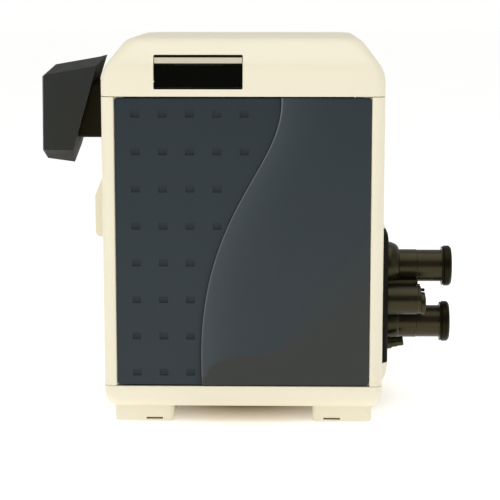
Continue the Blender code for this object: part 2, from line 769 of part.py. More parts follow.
def combustion_dome():
    """Lid of the combustion chamber, with a hole in its crown for the mixture."""
    profile = [(TUB_TOP + GAP, TUB_RADIUS + 8), (TUB_TOP + 4, TUB_RADIUS + 8), (TUB_TOP + 14, 140)]
    profile += [(DOME_TOP, 110), (DOME_TOP, 42), (DOME_TOP - 6, 42), (DOME_TOP - 6, 104), (TUB_TOP + 12, 132)]
    profile.append((TUB_TOP + GAP, 134))
    dome = turned("Z", (TUB_X, TUB_Y), profile, 24, closed=True)
    dome = finish("combustion_dome", dome, "sheet_steel")
    below, above = DOME_TOP - 30, DOME_TOP + 20
    glass_hole = turned("Z", (TUB_X + DOME_PORT, TUB_Y), [(below, 10.5), (above, 10.5)], 16)
    igniter_hole = turned("Z", (TUB_X, TUB_Y - DOME_PORT), [(below, 7.5), (above, 7.5)], 16)
    cut(dome, glass_hole, igniter_hole)


def burner():
    """Flame holder hanging from the dome into the tubes."""
    profile = [(250, 40), (DOME_TOP - 3, 40), (DOME_TOP - 3, 38), (253, 38)]
    finish("burner", turned("Z", (TUB_X, TUB_Y), profile), "sheet_steel")


def igniter():
    """Ceramic igniter with its rod reaching down beside the burner."""
    profile = [(370, 2), (DOME_TOP - 22, 2), (DOME_TOP - 22, 7), (DOME_TOP + 1.5, 7), (DOME_TOP + 1.5, 10)]
    profile.append((DOME_TOP + 8, 10))
    finish("igniter", turned("Z", (TUB_X, TUB_Y - DOME_PORT), profile, 12), "ceramic")


def sight_glass():
    profile = [(DOME_TOP - 7, 9.5), (DOME_TOP + GAP, 9.5), (DOME_TOP + GAP, 13), (DOME_TOP + 5, 13)]
    finish("sight_glass", turned("Z", (TUB_X + DOME_PORT, TUB_Y), profile, 16), "screen_glass")


def blower_housing():
    """Drum with an outlet in its floor, an inlet in its side and a hole for the motor's shaft."""
    low, high = BLOWER_Z
    inner = BLOWER_RADIUS - 3
    profile = [(low, BLOWER_RADIUS), (high, BLOWER_RADIUS), (high, 9), (high - 3, 9), (high - 3, inner)]
    profile += [(low + 3, inner), (low + 3, 36), (low, 36)]
    drum = turned("Z", (TUB_X, TUB_Y), profile, 20, closed=True)
    drum = finish("blower_housing", drum, "cast_aluminium")
    cut(
        drum,
        turned("X", (TUB_Y, MIXER_Z), [(TUB_X + 60, 20), (TUB_X + 120, 20)], 16),
        turned("Z", (TUB_X, TUB_Y - DOME_PORT), [(low - 9, 11.5), (low + 10, 11.5)], 12),
        turned("Z", (TUB_X + DOME_PORT, TUB_Y), [(low - 9, 14.5), (low + 10, 14.5)], 12),
    )


def impeller():
    """Backplate with radial blades on the motor's shaft."""
    low, high = BLOWER_Z
    plate = turned("Z", (TUB_X, TUB_Y), [(high - 16, 70), (high - 13, 70)], 20)
    wheel = finish("impeller", plate, "cast_aluminium", (TUB_X, TUB_Y, high))
    shaft = turned("Z", (TUB_X, TUB_Y), [(low + 30, 6), (high + 30, 6)], 12)
    blades = []
    for i in range(10):
        turn = 2 * math.pi * i / 10
        radial = Vector((math.cos(turn), math.sin(turn)))
        side = Vector((-radial.y, radial.x)) * 1.2
        near = Vector((TUB_X, TUB_Y)) + radial * 38
        far = Vector((TUB_X, TUB_Y)) + radial * 68
        outline = [tuple(near - side), tuple(far - side), tuple(far + side), tuple(near + side)]
        blades.append(prism("Z", outline, low + 22, high - 15))
    join(wheel, shaft, *blades)


def blower_motor():
    low, high = BLOWER_Z[1] + GAP, MOTOR_TOP
    profile = [(low, 52), (low + 6, 52), (low + 6, 46), (high - 8, 46), (high, 38)]
    motor = finish("blower_motor", turned("Z", (TUB_X, TUB_Y), profile, 24), "black_plastic")
    cut(motor, turned("Z", (TUB_X, TUB_Y), [(low - 10, 7), (low + 34, 7)], 12))


def air_gas_mixer():
    """Venturi tube that feeds the blower's side inlet."""
    start = TUB_X + BLOWER_RADIUS + 1.5
    profile = [(start, 28), (start + 5, 28), (start + 5, 22), (start + 40, 16), (start + 90, 24)]
    profile += [(start + 96, 24), (start + 96, 21), (start + 40, 12), (start, 18)]
    finish("air_gas_mixer", turned("X", (TUB_Y, MIXER_Z), profile, 16, closed=True), "cast_aluminium")


def gas_valve():
    """Gas control valve with a flange at its gas pipe."""
    valve = finish("gas_valve", block(VALVE_LOW, VALVE_HIGH, 6), "cast_aluminium")
    join(valve, turned("Z", VALVE_AXIS, [(VALVE_LOW[2] - 10, 16), (VALVE_LOW[2] + 4, 16)], 16))


def gas_valve_knob():
    top = VALVE_HIGH[2] + GAP
    profile = [(top, 14), (top + 12, 14), (top + 14, 12)]
    x, y = VALVE_AXIS
    knob = finish("gas_valve_knob", turned("Z", VALVE_AXIS, profile, 20), "black_plastic", (x, y, top))
    join(knob, block((x - 3, y - 13, top + 10), (x + 3, y + 13, top + 20)))


def gas_pipes():
    """Supply pipe from the back of the cabinet to the valve, and the line from the valve to the mixer."""
    below = VALVE_LOW[2] - 10 - GAP
    x, y = VALVE_AXIS
    supply = [(x, HALF - 2, GAS_INLET_Z), (x, y + 15, GAS_INLET_Z), (x, y + 3, GAS_INLET_Z + 6)]
    supply += [(x, y, GAS_INLET_Z + 18), (x, y, below)]
    finish("gas_supply_pipe", pipe(supply, 11, 12), "brass")
    feed = [(x, VALVE_LOW[1] - GAP, 380), (x, 0, 380), (x, -20, 392), (x, -50, MIXER_Z - 18)]
    feed += [(x - 10, -64, MIXER_Z - 2), (x - 22, -68, MIXER_Z)]
    finish("gas_feed_pipe", pipe(feed, 7, 8), "copper")


# --- Water manifold ----------------------------------------------------------------------------------------


def port_stub(z, root):
    """Stub of a water port on the manifold, with its swollen root."""
    start = COVER_REACH
    swell = root - PORT_RADIUS
    profile = [(MANIFOLD_X[1] - 4, root)]
    for i in range(5):
        turn = math.pi / 2 * i / 4
        profile.append((start + ROOT_LENGTH * math.sin(turn), PORT_RADIUS + swell * math.cos(turn)))
    profile.append((PORT_JOINT - GAP, PORT_RADIUS))
    return turned("X", (PORT_Y, z), profile, 24)


def port_pipe(name, z, end):
    """Port pipe with the lip that the plumbing's union nut pulls against."""
    body = PORT_RADIUS - 0.8
    lip = end - LIP_LENGTH
    profile = [(PORT_JOINT, body), (lip, body), (lip, COLLAR_RADIUS - 1.5), (lip + 4.5, COLLAR_RADIUS)]
    profile += [(end - 4, COLLAR_RADIUS), (end, COLLAR_RADIUS - 4), (end, PORT_BORE), (PORT_JOINT, PORT_BORE)]
    finish(name, turned("X", (PORT_Y, z), profile, 24, closed=True), "black_plastic")


def port_pipes():
    port_pipe("upper_port_pipe", UPPER_PORT_Z, REACH)
    port_pipe("lower_port_pipe", LOWER_PORT_Z, LOWER_REACH)


def tilted(bm):
    """Tilt a body that lies along the X axis of the drain to the drain's own direction."""
    turn = Matrix.Rotation(-DRAIN_TILT, 3, "Y")
    bmesh.ops.rotate(bm, verts=bm.verts, cent=(DRAIN_ROOT, DRAIN_Y, DRAIN_Z), matrix=turn)
    return bm


def water_manifold():
    """Moulded manifold: two chambers, two port stubs, the regulator housing and the drain boss."""
    low = (MANIFOLD_X[0], MANIFOLD_Y[0], MANIFOLD_Z[0])
    high = (MANIFOLD_X[1], MANIFOLD_Y[1], MANIFOLD_Z[1])
    manifold = finish("water_manifold", block(low, high, 12, "X"), "black_plastic")
    root = MANIFOLD_X[1] - 4
    housing = [(root, REGULATOR_RADIUS), (REGULATOR_END - 6, REGULATOR_RADIUS)]
    housing += [(REGULATOR_END - 5, REGULATOR_RADIUS - 1), (REGULATOR_END, REGULATOR_RADIUS - 1)]
    web = block((COVER_REACH + 1, -136, 236), (PORT_JOINT - GAP, -106, 258))
    lug = block((337, -157, 240), (344.5, -141, 253.5), 3, "X")
    join(
        manifold,
        port_stub(UPPER_PORT_Z, UPPER_ROOT),
        port_stub(LOWER_PORT_Z, LOWER_ROOT),
        turned("X", (REGULATOR_Y, REGULATOR_Z), housing, 20),
        web,
        lug,
        tilted(turned("X", (DRAIN_Y, DRAIN_Z), [(root - 4, DRAIN_RADIUS), (DRAIN_ROOT, DRAIN_RADIUS)], 16)),
    )
    wall = MANIFOLD_WALL
    x0, x1 = MANIFOLD_X[0] + wall, MANIFOLD_X[1] - wall
    y0, y1 = MANIFOLD_Y[0] + wall, MANIFOLD_Y[1] - wall
    cut(
        manifold,
        block((x0, y0, MANIFOLD_Z[0] + wall), (x1, y1, PARTITION_Z[0])),
        block((x0, y0, PARTITION_Z[1]), (x1, y1, MANIFOLD_Z[1] - wall)),
    )
    bores = []
    for z in (UPPER_PORT_Z, LOWER_PORT_Z):
        bores.append(turned("X", (PORT_Y, z), [(x1 - 10, PORT_BORE), (REACH, PORT_BORE)], 24))
    for z in (UPPER_PASSAGE_Z, LOWER_PORT_Z):
        bores.append(turned("X", (PORT_Y, z), [(x0 - 30, PASSAGE_RADIUS), (x0 + 10, PASSAGE_RADIUS)], 16))
    bores.append(turned("X", (REGULATOR_Y, CAP_Z), [(x1 - 10, CAP_BORE), (REACH, CAP_BORE)], 20))
    bores.append(tilted(turned("X", (DRAIN_Y, DRAIN_Z), [(x1 - 12, 7), (320, 7)], 12)))
    bores.append(turned("Z", BYPASS, [(PARTITION_Z[0] - 10, 20), (PARTITION_Z[1] + 10, 20)], 20))
    cut(manifold, *bores)


def bypass_plunger():
    """Disc on a stem that lifts off the partition when the flow is too high."""
    seat = PARTITION_Z[1] + GAP
    profile = [(150, 4), (seat, 4), (seat, 24), (seat + 4, 24), (seat + 4, 6), (seat + 12, 6)]
    finish("bypass_plunger", turned("Z", BYPASS, profile, 20), "black_plastic", (*BYPASS, seat))


def bypass_spring():
    """Spring between the plunger's disc and the roof of the upper chamber."""
    bottom, top = PARTITION_Z[1] + 7, MANIFOLD_Z[1] - 10.5
    turns, per_turn, radius = 5, 8, 14.0
    path = []
    for i in range(turns * per_turn + 1):
        angle = 2 * math.pi * i / per_turn
        share = i / (turns * per_turn)
        x, y = BYPASS[0] + radius * math.cos(angle), BYPASS[1] + radius * math.sin(angle)
        path.append((x, y, bottom + (top - bottom) * share))
    finish("bypass_spring", pipe(path, 1.4, 4), "spring_steel")


def regulator_cap():
    """End cap of the regulator housing, with a shallow boss."""
    start = REGULATOR_END + GAP
    profile = [(start, CAP_RADIUS), (start + 7, CAP_RADIUS), (start + 8.5, CAP_RADIUS - 1.5)]
    cap = finish("regulator_cap", turned("X", (REGULATOR_Y, CAP_Z), profile, 20), "black_plastic")
    join(cap, turned("X", (REGULATOR_Y, CAP_Z), [(start + 6, 14), (start + 10, 14)], 20))


def regulator_bolt():
    """Bolt in the housing's lug, above the cap."""
    start = REGULATOR_END + GAP
    profile = [(start, BOLT_RADIUS), (start + 6.5, BOLT_RADIUS), (start + 7.5, BOLT_RADIUS - 0.8)]
    finish("regulator_bolt", turned("X", (REGULATOR_Y, BOLT_Z), profile, 6), "sheet_steel")


def regulator_cartridge():
    """Thermal element that slides in the housing as the water warms."""
    x0 = 296.0
    profile = [(x0, 9), (x0 + 10, 9), (x0 + 10, 15), (x0 + 34, 15), (x0 + 34, 7), (x0 + 44, 7)]
    finish("regulator_cartridge", turned("X", (REGULATOR_Y, CAP_Z), profile, 20), "brass")


def drain_plug():
    """Faceted plug that screws on to the drain boss, in two steps."""
    start = DRAIN_ROOT + GAP
    profile = [(start, 10.5), (start + 11, 10.5), (start + 11.6, 9.6), (start + 23, 9.6), (start + 24, 8.6)]
    plug = tilted(turned("X", (DRAIN_Y, DRAIN_Z), profile, 8))
    finish("drain_plug", plug, "black_plastic", (DRAIN_ROOT, DRAIN_Y, DRAIN_Z))


def sensors():
    """Pressure switch, high-limit switch and thermistor, screwed into the manifold's front and top."""
    front = MANIFOLD_Y[0] - GAP
    switch = [(front - 26, 14), (front - 10, 14), (front - 10, 7), (front, 7)]
    finish("water_pressure_switch", turned("Y", (225, 200), switch, 16), "black_plastic")
    top = MANIFOLD_Z[1] + GAP
    limit = [(top, 7), (top + 6, 7), (top + 6, 11), (top + 22, 11)]
    finish("high_limit_switch", turned("Z", (222, -70), limit, 12), "brass")
    probe = [(top, 5), (top + 4, 5), (top + 4, 8), (top + 18, 8)]
    finish("thermistor", turned("Z", (222, -120), probe, 12), "brass")


# --- Electrical parts --------------------------------------------------------------------------------------


def electrical_parts():
    """Ignition module, transformer, and the junction box with its cover, on the back and right side."""
    back = HALF - WALL - GAP
    finish("ignition_module", block((-215, back - 34, 330), (-125, back, 420), 4), "black_plastic")
    transformer = finish("transformer", block((-208, back - 56, 224), (-142, back, 286), 4), "sheet_steel")
    join(transformer, block((-196, back - 62, 212), (-154, back - 6, 298)))
    box = finish("junction_box", block((206, 150, 460), (262.5, 236, 560), 4, "X"), "sheet_steel")
    cut(box, block((200, 153, 463), (259.5, 233, 557)))
    finish("junction_box_cover", block((203.6, 149, 459), (205.6, 237, 561), 4, "X"), "sheet_steel")


def build():
    clear_scene()
    base_pan()
    side_panels()
    connection_surround()
    front_panel()
    rear_panel()
    top_lid()
    air_intake_cowl()
    water_connection_cover()
    exhaust_hood()
    exhaust_collar()
    flue_pipe()
    control_bezel()
    label_strip()
    display_door()
    control_fascia()
    control_keys()
    display_screen()
    control_board()
    heat_exchanger_tub()
    heat_exchanger_tubes()
    tube_header()
    combustion_dome()
    burner()
    igniter()
    sight_glass()
    blower_housing()
    impeller()
    blower_motor()
    air_gas_mixer()
    gas_valve()
    gas_valve_knob()
    gas_pipes()
    water_manifold()
    port_pipes()
    bypass_plunger()
    bypass_spring()
    regulator_cap()
    regulator_bolt()
    regulator_cartridge()
    drain_plug()
    sensors()
    electrical_parts()


build()
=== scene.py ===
"""Looks of the pool and spa heater: fine shells, surface detail, materials, studio and camera.

Lengths are in metres.
"""

import json
import math

import bmesh
import bpy
from mathutils import Matrix, Vector


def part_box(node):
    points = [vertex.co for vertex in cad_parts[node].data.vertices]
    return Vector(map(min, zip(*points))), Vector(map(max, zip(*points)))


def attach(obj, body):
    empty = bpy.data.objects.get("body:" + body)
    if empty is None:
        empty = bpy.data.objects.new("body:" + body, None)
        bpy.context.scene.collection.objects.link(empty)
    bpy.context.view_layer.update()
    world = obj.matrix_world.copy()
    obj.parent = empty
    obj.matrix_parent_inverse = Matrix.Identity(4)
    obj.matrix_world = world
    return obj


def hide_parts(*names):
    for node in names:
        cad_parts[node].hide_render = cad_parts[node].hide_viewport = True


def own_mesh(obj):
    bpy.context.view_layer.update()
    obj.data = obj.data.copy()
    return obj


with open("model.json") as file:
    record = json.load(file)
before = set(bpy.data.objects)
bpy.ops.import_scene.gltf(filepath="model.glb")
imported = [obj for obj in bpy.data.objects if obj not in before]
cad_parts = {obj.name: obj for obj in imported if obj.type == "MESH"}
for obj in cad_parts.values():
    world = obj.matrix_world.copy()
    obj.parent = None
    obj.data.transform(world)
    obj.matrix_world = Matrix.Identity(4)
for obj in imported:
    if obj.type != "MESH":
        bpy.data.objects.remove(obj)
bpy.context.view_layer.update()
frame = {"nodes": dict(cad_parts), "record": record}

BASE_LOW, BASE_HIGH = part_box("base_pan")
LID_LOW, LID_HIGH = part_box("top_lid")
PANEL_LOW, PANEL_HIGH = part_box("front_panel")
HALF = BASE_HIGH.x
CORNER = 0.020
WALL = 0.003


# --- Outlines and bodies -----------------------------------------------------------------------------------


def arc(centre, radius, start, end, steps):
    """Points of an arc in degrees, both ends included. radius is a number or a pair of half axes."""
    wide, high = radius if isinstance(radius, tuple) else (radius, radius)
    turns = [math.radians(start + (end - start) * i / steps) for i in range(steps + 1)]
    return [(centre[0] + wide * math.cos(t), centre[1] + high * math.sin(t)) for t in turns]


def rounded(low, high, radius, steps=8):
    """Outline of a rectangle with rounded corners, anticlockwise from its lower right."""
    (left, bottom), (right, top) = low, high
    corners = (
        ((right - radius, bottom + radius), -90),
        ((right - radius, top - radius), 0),
        ((left + radius, top - radius), 90),
        ((left + radius, bottom + radius), 180),
    )
    outline = []
    for centre, turn in corners:
        outline += arc(centre, radius, turn, turn + 90, steps)
    return outline


def plan(inset, z, radius):
    """The cabinet's plan outline pulled in by inset, at height z."""
    half = HALF - inset
    return [(x, y, z) for x, y in rounded((-half, -half), (half, half), radius, 10)]


def place(axis, u, v, along):
    return {"X": (along, u, v), "Y": (u, along, v), "Z": (u, v, along)}[axis]


def loft(rings, closed=False):
    """A body skinned over rings with equally many points: capped at both ends, or joined end to end."""
    bm = bmesh.new()
    loops = [[bm.verts.new(point) for point in ring] for ring in rings]
    pairs = list(zip(loops, loops[1:]))
    if closed:
        pairs.append((loops[-1], loops[0]))
    for first, second in pairs:
        for i in range(len(first)):
            j = (i + 1) % len(first)
            bm.faces.new((first[i], first[j], second[j], second[i]))
    if not closed:
        bm.faces.new(loops[0])
        bm.faces.new(loops[-1])
    return bm


def prism(axis, outline, start, end):
    return loft([[place(axis, u, v, along) for u, v in outline] for along in (start, end)])


def block(low, high, radius=0.0, axis="Z"):
    """A box, with the edges along one axis rounded if a radius is given."""
    u, v, w = {"X": (1, 2, 0), "Y": (0, 2, 1), "Z": (0, 1, 2)}[axis]
    if radius:
        outline = rounded((low[u], low[v]), (high[u], high[v]), radius)
    else:
        outline = [(low[u], low[v]), (high[u], low[v]), (high[u], high[v]), (low[u], high[v])]
    return prism(axis, outline, low[w], high[w])


def turned(axis, centre, profile, sides=64, closed=False):
    """A turned body. profile lists (distance along the axis, radius)."""
    rings = []
    for along, radius in profile:
        turns = [2 * math.pi * i / sides for i in range(sides)]
        ring = [(centre[0] + radius * math.cos(t), centre[1] + radius * math.sin(t)) for t in turns]
        rings.append([place(axis, u, v, along) for u, v in ring])
    return loft(rings, closed)


def softened(profile, radius, steps=3):
    """Round the corners of an open profile by cutting each with a small curve."""
    points = [Vector(p) for p in profile]
    soft = [tuple(points[0])]
    for before, here, after in zip(points, points[1:], points[2:]):
        reach = min(radius, (here - before).length * 0.45, (after - here).length * 0.45)
        start = here + (before - here).normalized() * reach
        end = here + (after - here).normalized() * reach
        for i in range(steps + 1):
            t = i / steps
            soft.append(tuple(start * (1 - t) ** 2 + here * 2 * t * (1 - t) + end * t**2))
    soft.append(tuple(points[-1]))
    return soft


def merged(bodies):
    whole = bmesh.new()
    for bm in bodies:
        mesh = bpy.data.meshes.new("merged")
        bmesh.ops.recalc_face_normals(bm, faces=bm.faces)
        bm.to_mesh(mesh)
        bm.free()
        whole.from_mesh(mesh)
        bpy.data.meshes.remove(mesh)
    return whole


def add_object(name, bm, *materials):
    bmesh.ops.recalc_face_normals(bm, faces=bm.faces)
    mesh = bpy.data.meshes.new(name)
    bm.to_mesh(mesh)
    bm.free()
    for material in materials:
        mesh.materials.append(material)
    made = bpy.data.objects.new(name, mesh)
    bpy.context.collection.objects.link(made)
    return made


def apply_modifiers(obj):
    """Bake an object's modifiers into its mesh."""
    graph = bpy.context.evaluated_depsgraph_get()
    baked = bpy.data.meshes.new_from_object(obj.evaluated_get(graph))
    old = obj.data
    obj.modifiers.clear()
    obj.data = baked
    bpy.data.meshes.remove(old)


def combine(obj, operation, bodies):
    """Cut bodies out of an object or join them to it, at once."""
    tool = add_object(obj.name + "_tool", merged(bodies), obj.data.materials[0])
    step = obj.modifiers.new("Boolean", "BOOLEAN")
    step.operation = operation
    step.solver = "EXACT"
    step.use_self = len(bodies) > 1
    step.object = tool
    apply_modifiers(obj)
    bpy.data.objects.remove(tool, do_unlink=True)


def cut(obj, *bodies):
    combine(obj, "DIFFERENCE", bodies)


def join(obj, *bodies):
    combine(obj, "UNION", bodies)


def dissolve(obj, degrees=1.0):
    """Merge flat triangles into whole faces, so that a bevel runs cleanly."""
    bm = bmesh.new()
    bm.from_mesh(obj.data)
    bmesh.ops.remove_doubles(bm, verts=bm.verts, dist=1e-6)
    bmesh.ops.dissolve_limit(
        bm, angle_limit=math.radians(degrees), verts=bm.verts, edges=bm.edges, delimit={"MATERIAL"}
    )
    bm.to_mesh(obj.data)
    bm.free()


def bevel(obj, width, segments=2, degrees=35):
    """Round every edge sharper than an angle."""
    dissolve(obj)
    step = obj.modifiers.new("Bevel", "BEVEL")
    step.width = width
    step.segments = segments
    step.limit_method = "ANGLE"
    step.angle_limit = math.radians(degrees)
    step.miter_outer = "MITER_ARC"
    step.use_clamp_overlap = True
    apply_modifiers(obj)


def smooth(obj, degrees=35):
    """Smooth shading that keeps sharp edges sharp and broad faces flat."""
    obj.data.shade_smooth()
    obj.data.set_sharp_from_angle(angle=math.radians(degrees))
    step = obj.modifiers.new("Weighted", "WEIGHTED_NORMAL")
    step.keep_sharp = True
    apply_modifiers(obj)


def settle(obj, body, slot, *nodes, degrees=35):
    """Shade a finished piece, let it ride on its body and stand for its nodes."""
    smooth(obj, degrees)
    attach(obj, body)
    if nodes:
        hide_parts(*nodes)
    return obj


def refined(node, body, slot, material, width, segments=2, degrees=35):
    """A copy of a CAD node with rounded edges, in place of the node."""
    source = frame["nodes"][node]
    copy = bpy.data.objects.new(node + "_fine", source.data.copy())
    bpy.context.collection.objects.link(copy)
    copy.data.materials.clear()
    copy.data.materials.append(material)
    bevel(copy, width, segments, degrees)
    return settle(copy, body, slot, node, degrees=degrees)


# --- Materials ---------------------------------------------------------------------------------------------


class Shader:
    """A material under construction: its node tree and short ways to add to it."""

    def __init__(self, name):
        self.material = bpy.data.materials.new(name)
        self.material.use_nodes = True
        self.tree = self.material.node_tree
        self.surface = self.tree.nodes["Principled BSDF"]
        self.place = self.tree.nodes.new("ShaderNodeTexCoord").outputs["Object"]

    def link(self, out, socket):
        self.tree.links.new(out, socket)

    def noise(self, scale, detail=3.0, roughness=0.5, stretch=None):
        """Noise in object space. scale is in bumps per metre; stretch squeezes it along the axes."""
        texture = self.tree.nodes.new("ShaderNodeTexNoise")
        texture.inputs["Scale"].default_value = scale
        texture.inputs["Detail"].default_value = detail
        texture.inputs["Roughness"].default_value = roughness
        where = self.place
        if stretch:
            mapping = self.tree.nodes.new("ShaderNodeMapping")
            mapping.inputs["Scale"].default_value = stretch
            self.link(self.place, mapping.inputs["Vector"])
            where = mapping.outputs["Vector"]
        self.link(where, texture.inputs["Vector"])
        return texture.outputs["Fac"]

    def spread(self, value, low, high, source=(0.3, 0.7)):
        """Map a value from its source range to low..high."""
        node = self.tree.nodes.new("ShaderNodeMapRange")
        node.inputs["From Min"].default_value, node.inputs["From Max"].default_value = source
        node.inputs["To Min"].default_value = low
        node.inputs["To Max"].default_value = high
        self.link(value, node.inputs["Value"])
        return node.outputs["Result"]

    def blend(self, factor, first, second):
        """Mix two colours; each is a colour or a socket."""
        node = self.tree.nodes.new("ShaderNodeMix")
        node.data_type = "RGBA"
        sockets = [s for s in node.inputs if s.type == "RGBA"]
        for socket, value in zip(sockets, (first, second)):
            if isinstance(value, tuple):
                socket.default_value = (*value, 1.0)
            else:
                self.link(value, socket)
        factor_in = [s for s in node.inputs if s.type == "VALUE"][0]
        if isinstance(factor, float):
            factor_in.default_value = factor
        else:
            self.link(factor, factor_in)
        return [s for s in node.outputs if s.type == "RGBA"][0]

    def bump(self, height, strength, distance, below=None):
        node = self.tree.nodes.new("ShaderNodeBump")
        node.inputs["Strength"].default_value = strength
        node.inputs["Distance"].default_value = distance
        self.link(height, node.inputs["Height"])
        if below:
            self.link(below, node.inputs["Normal"])
        return node.outputs["Normal"]

    def attribute(self, name):
        """A value stored on the mesh's points."""
        node = self.tree.nodes.new("ShaderNodeAttribute")
        node.attribute_name = name
        return node.outputs["Fac"]


WHITE = (1.0, 1.0, 1.0)
OLIVE = (1.0, 0.85, 0.44)  # tint of the reflections on the black mouldings


def plastic(
    name, colour, drift, rough, rough_drift, grain, depth, metallic=0.0, specular=0.5, wave=0.0002, tint=WHITE
):
    """Moulded plastic: slow colour drift, uneven gloss, and fine grain as bump."""
    shader = Shader(name)
    lighter = tuple(min(1.0, c * (1 + drift)) for c in colour)
    darker = tuple(c * (1 - drift) for c in colour)
    shader.link(
        shader.blend(shader.spread(shader.noise(9.0, 4.0), 0.0, 1.0), darker, lighter),
        shader.surface.inputs["Base Color"],
    )
    gloss = shader.spread(shader.noise(45.0, 5.0, 0.6), rough - rough_drift, rough + rough_drift)
    shader.link(gloss, shader.surface.inputs["Roughness"])
    fine = shader.bump(shader.noise(grain, 2.0), 0.35, depth)
    coarse = shader.bump(shader.noise(14.0, 1.0), 0.10, wave, fine)
    shader.link(coarse, shader.surface.inputs["Normal"])
    shader.surface.inputs["Metallic"].default_value = metallic
    shader.surface.inputs["Specular IOR Level"].default_value = specular
    shader.surface.inputs["Specular Tint"].default_value = (*tint, 1.0)
    return shader.material


def brushed(name, colour, rough, stretch, metallic=1.0):
    """Drawn or rolled metal, with fine lines along one direction."""
    shader = Shader(name)
    lines = shader.noise(900.0, 2.0, 0.5, stretch)
    dark = tuple(c * 0.86 for c in colour)
    shade = shader.blend(shader.spread(lines, 0.0, 1.0), dark, colour)
    shader.link(shade, shader.surface.inputs["Base Color"])
    shader.link(shader.spread(lines, rough - 0.06, rough + 0.08), shader.surface.inputs["Roughness"])
    shader.link(shader.bump(lines, 0.3, 0.00005), shader.surface.inputs["Normal"])
    shader.surface.inputs["Metallic"].default_value = metallic
    return shader.material


def almond():
    return plastic("almond_moulded", (0.835, 0.775, 0.600), 0.012, 0.42, 0.05, 2600.0, 0.00008)


def slate(name, rough, specular):
    """Blue-grey panel plastic with painted light stored on the mesh: one value paints shade below 0.5 and a
    highlight above it, another paints a warm grey reflection of the floor.
    """
    shader = Shader(name)
    # The second colour is the painted warm grey reflection of the floor on the low part of the raised field.
    cool, painted_warm_light = (0.0150, 0.0258, 0.0305), (0.0205, 0.0232, 0.0195)
    colour = shader.blend(shader.attribute("painted_floor_reflection"), cool, painted_warm_light)
    colour = shader.blend(shader.spread(shader.noise(9.0, 4.0), 0.0, 0.06), colour, (0.03, 0.035, 0.04))
    painted_light = shader.attribute("painted_light")
    # Painted shade below 0.5 (dimples, foot of the raised edge) and a painted highlight above 0.5 (along the
    # crest).
    darker = shader.blend(shader.spread(painted_light, 1.0, 0.0, (0.0, 0.5)), colour, (0.003, 0.003, 0.003))
    lighter = shader.blend(shader.spread(painted_light, 0.0, 1.0, (0.5, 1.0)), darker, (0.120, 0.150, 0.160))
    shader.link(lighter, shader.surface.inputs["Base Color"])
    # The painted shade and highlight also lower and raise the gloss level.
    level = shader.spread(painted_light, specular * 0.3, specular * 1.7, (0.1, 0.9))
    shader.link(level, shader.surface.inputs["Specular IOR Level"])
    gloss_drift = shader.spread(shader.noise(45.0, 5.0), rough - 0.02, rough + 0.02)
    shader.link(gloss_drift, shader.surface.inputs["Roughness"])
    shader.link(shader.bump(shader.noise(14.0, 1.0), 0.10, 0.0001), shader.surface.inputs["Normal"])
    return shader.material


def slate_cover():
    colour = (0.0068, 0.0074, 0.0060)
    return plastic("slate_cover", colour, 0.06, 0.44, 0.04, 2400.0, 0.00004, specular=0.03, tint=OLIVE)


def black():
    # Black plastic whose olive cast is painted warm reflection of the almond cabinet.
    colour = (0.0110, 0.0105, 0.0065)
    return plastic("black_moulded", colour, 0.12, 0.30, 0.05, 1500.0, 0.00008, specular=0.46, tint=OLIVE)


def hood_black():
    colour = (0.0305, 0.0335, 0.0325)
    return plastic("hood_moulded", colour, 0.06, 0.48, 0.05, 1500.0, 0.00008, specular=0.07, tint=OLIVE)


def hood_painted_shade():
    # A darker, browner copy of the hood's plastic: painted shade for its down-facing facets.
    colour = (0.0120, 0.0105, 0.0062)
    return plastic("hood_underside_painted_shade", colour, 0.06, 0.48, 0.05, 1500.0, 0.00008, specular=0.05, tint=OLIVE)


def lip_black():
    colour = (0.0036, 0.0036, 0.0014)
    return plastic("black_lip", colour, 0.10, 0.40, 0.05, 1500.0, 0.00008, specular=0.16, tint=OLIVE)


def gloss():
    colour = (0.0026, 0.0030, 0.0020)
    return plastic("smoked_gloss", colour, 0.05, 0.07, 0.02, 900.0, 0.000002, specular=0.30, wave=0.0)


def build_materials():
    return {
        "almond": almond(),
        "slate": slate("slate_field", 0.34, 0.33),
        "crest": slate("slate_crest", 0.30, 0.36),
        "back": plastic("slate_back", (0.0150, 0.0258, 0.0305), 0.05, 0.34, 0.02, 3200.0, 0.00002),
        "cover": slate_cover(),
        "black": black(),
        "hood": hood_black(),
        "hood_painted_shade": hood_painted_shade(),
        "lip": lip_black(),
        "gloss": gloss(),
        "film": plastic("label_film", (0.60, 0.545, 0.43), 0.03, 0.40, 0.04, 900.0, 0.00002),
        "rubber": plastic("key_rubber", (0.09, 0.10, 0.11), 0.08, 0.62, 0.05, 1800.0, 0.00008),
        "glass": plastic("screen_glass", (0.10, 0.13, 0.11), 0.06, 0.12, 0.03, 900.0, 0.00001),
        "board": plastic("circuit_board", (0.02, 0.11, 0.045), 0.15, 0.48, 0.08, 1200.0, 0.00010),
        "steel": brushed("rolled_steel", (0.55, 0.56, 0.57), 0.34, (1.0, 1.0, 0.03)),
        "copper": brushed("drawn_copper", (0.70, 0.34, 0.21), 0.30, (0.1, 0.1, 1.0)),
        "brass": brushed("machined_brass", (0.72, 0.56, 0.27), 0.30, (1.0, 0.1, 0.1)),
        "cast": plastic("cast_aluminium", (0.58, 0.59, 0.60), 0.06, 0.46, 0.08, 1400.0, 0.00020, 1.0),
        "ceramic": plastic("glazed_ceramic", (0.80, 0.78, 0.73), 0.03, 0.30, 0.05, 900.0, 0.00005),
        "spring": brushed("spring_wire", (0.62, 0.63, 0.65), 0.22, (1.0, 1.0, 0.2)),
    }


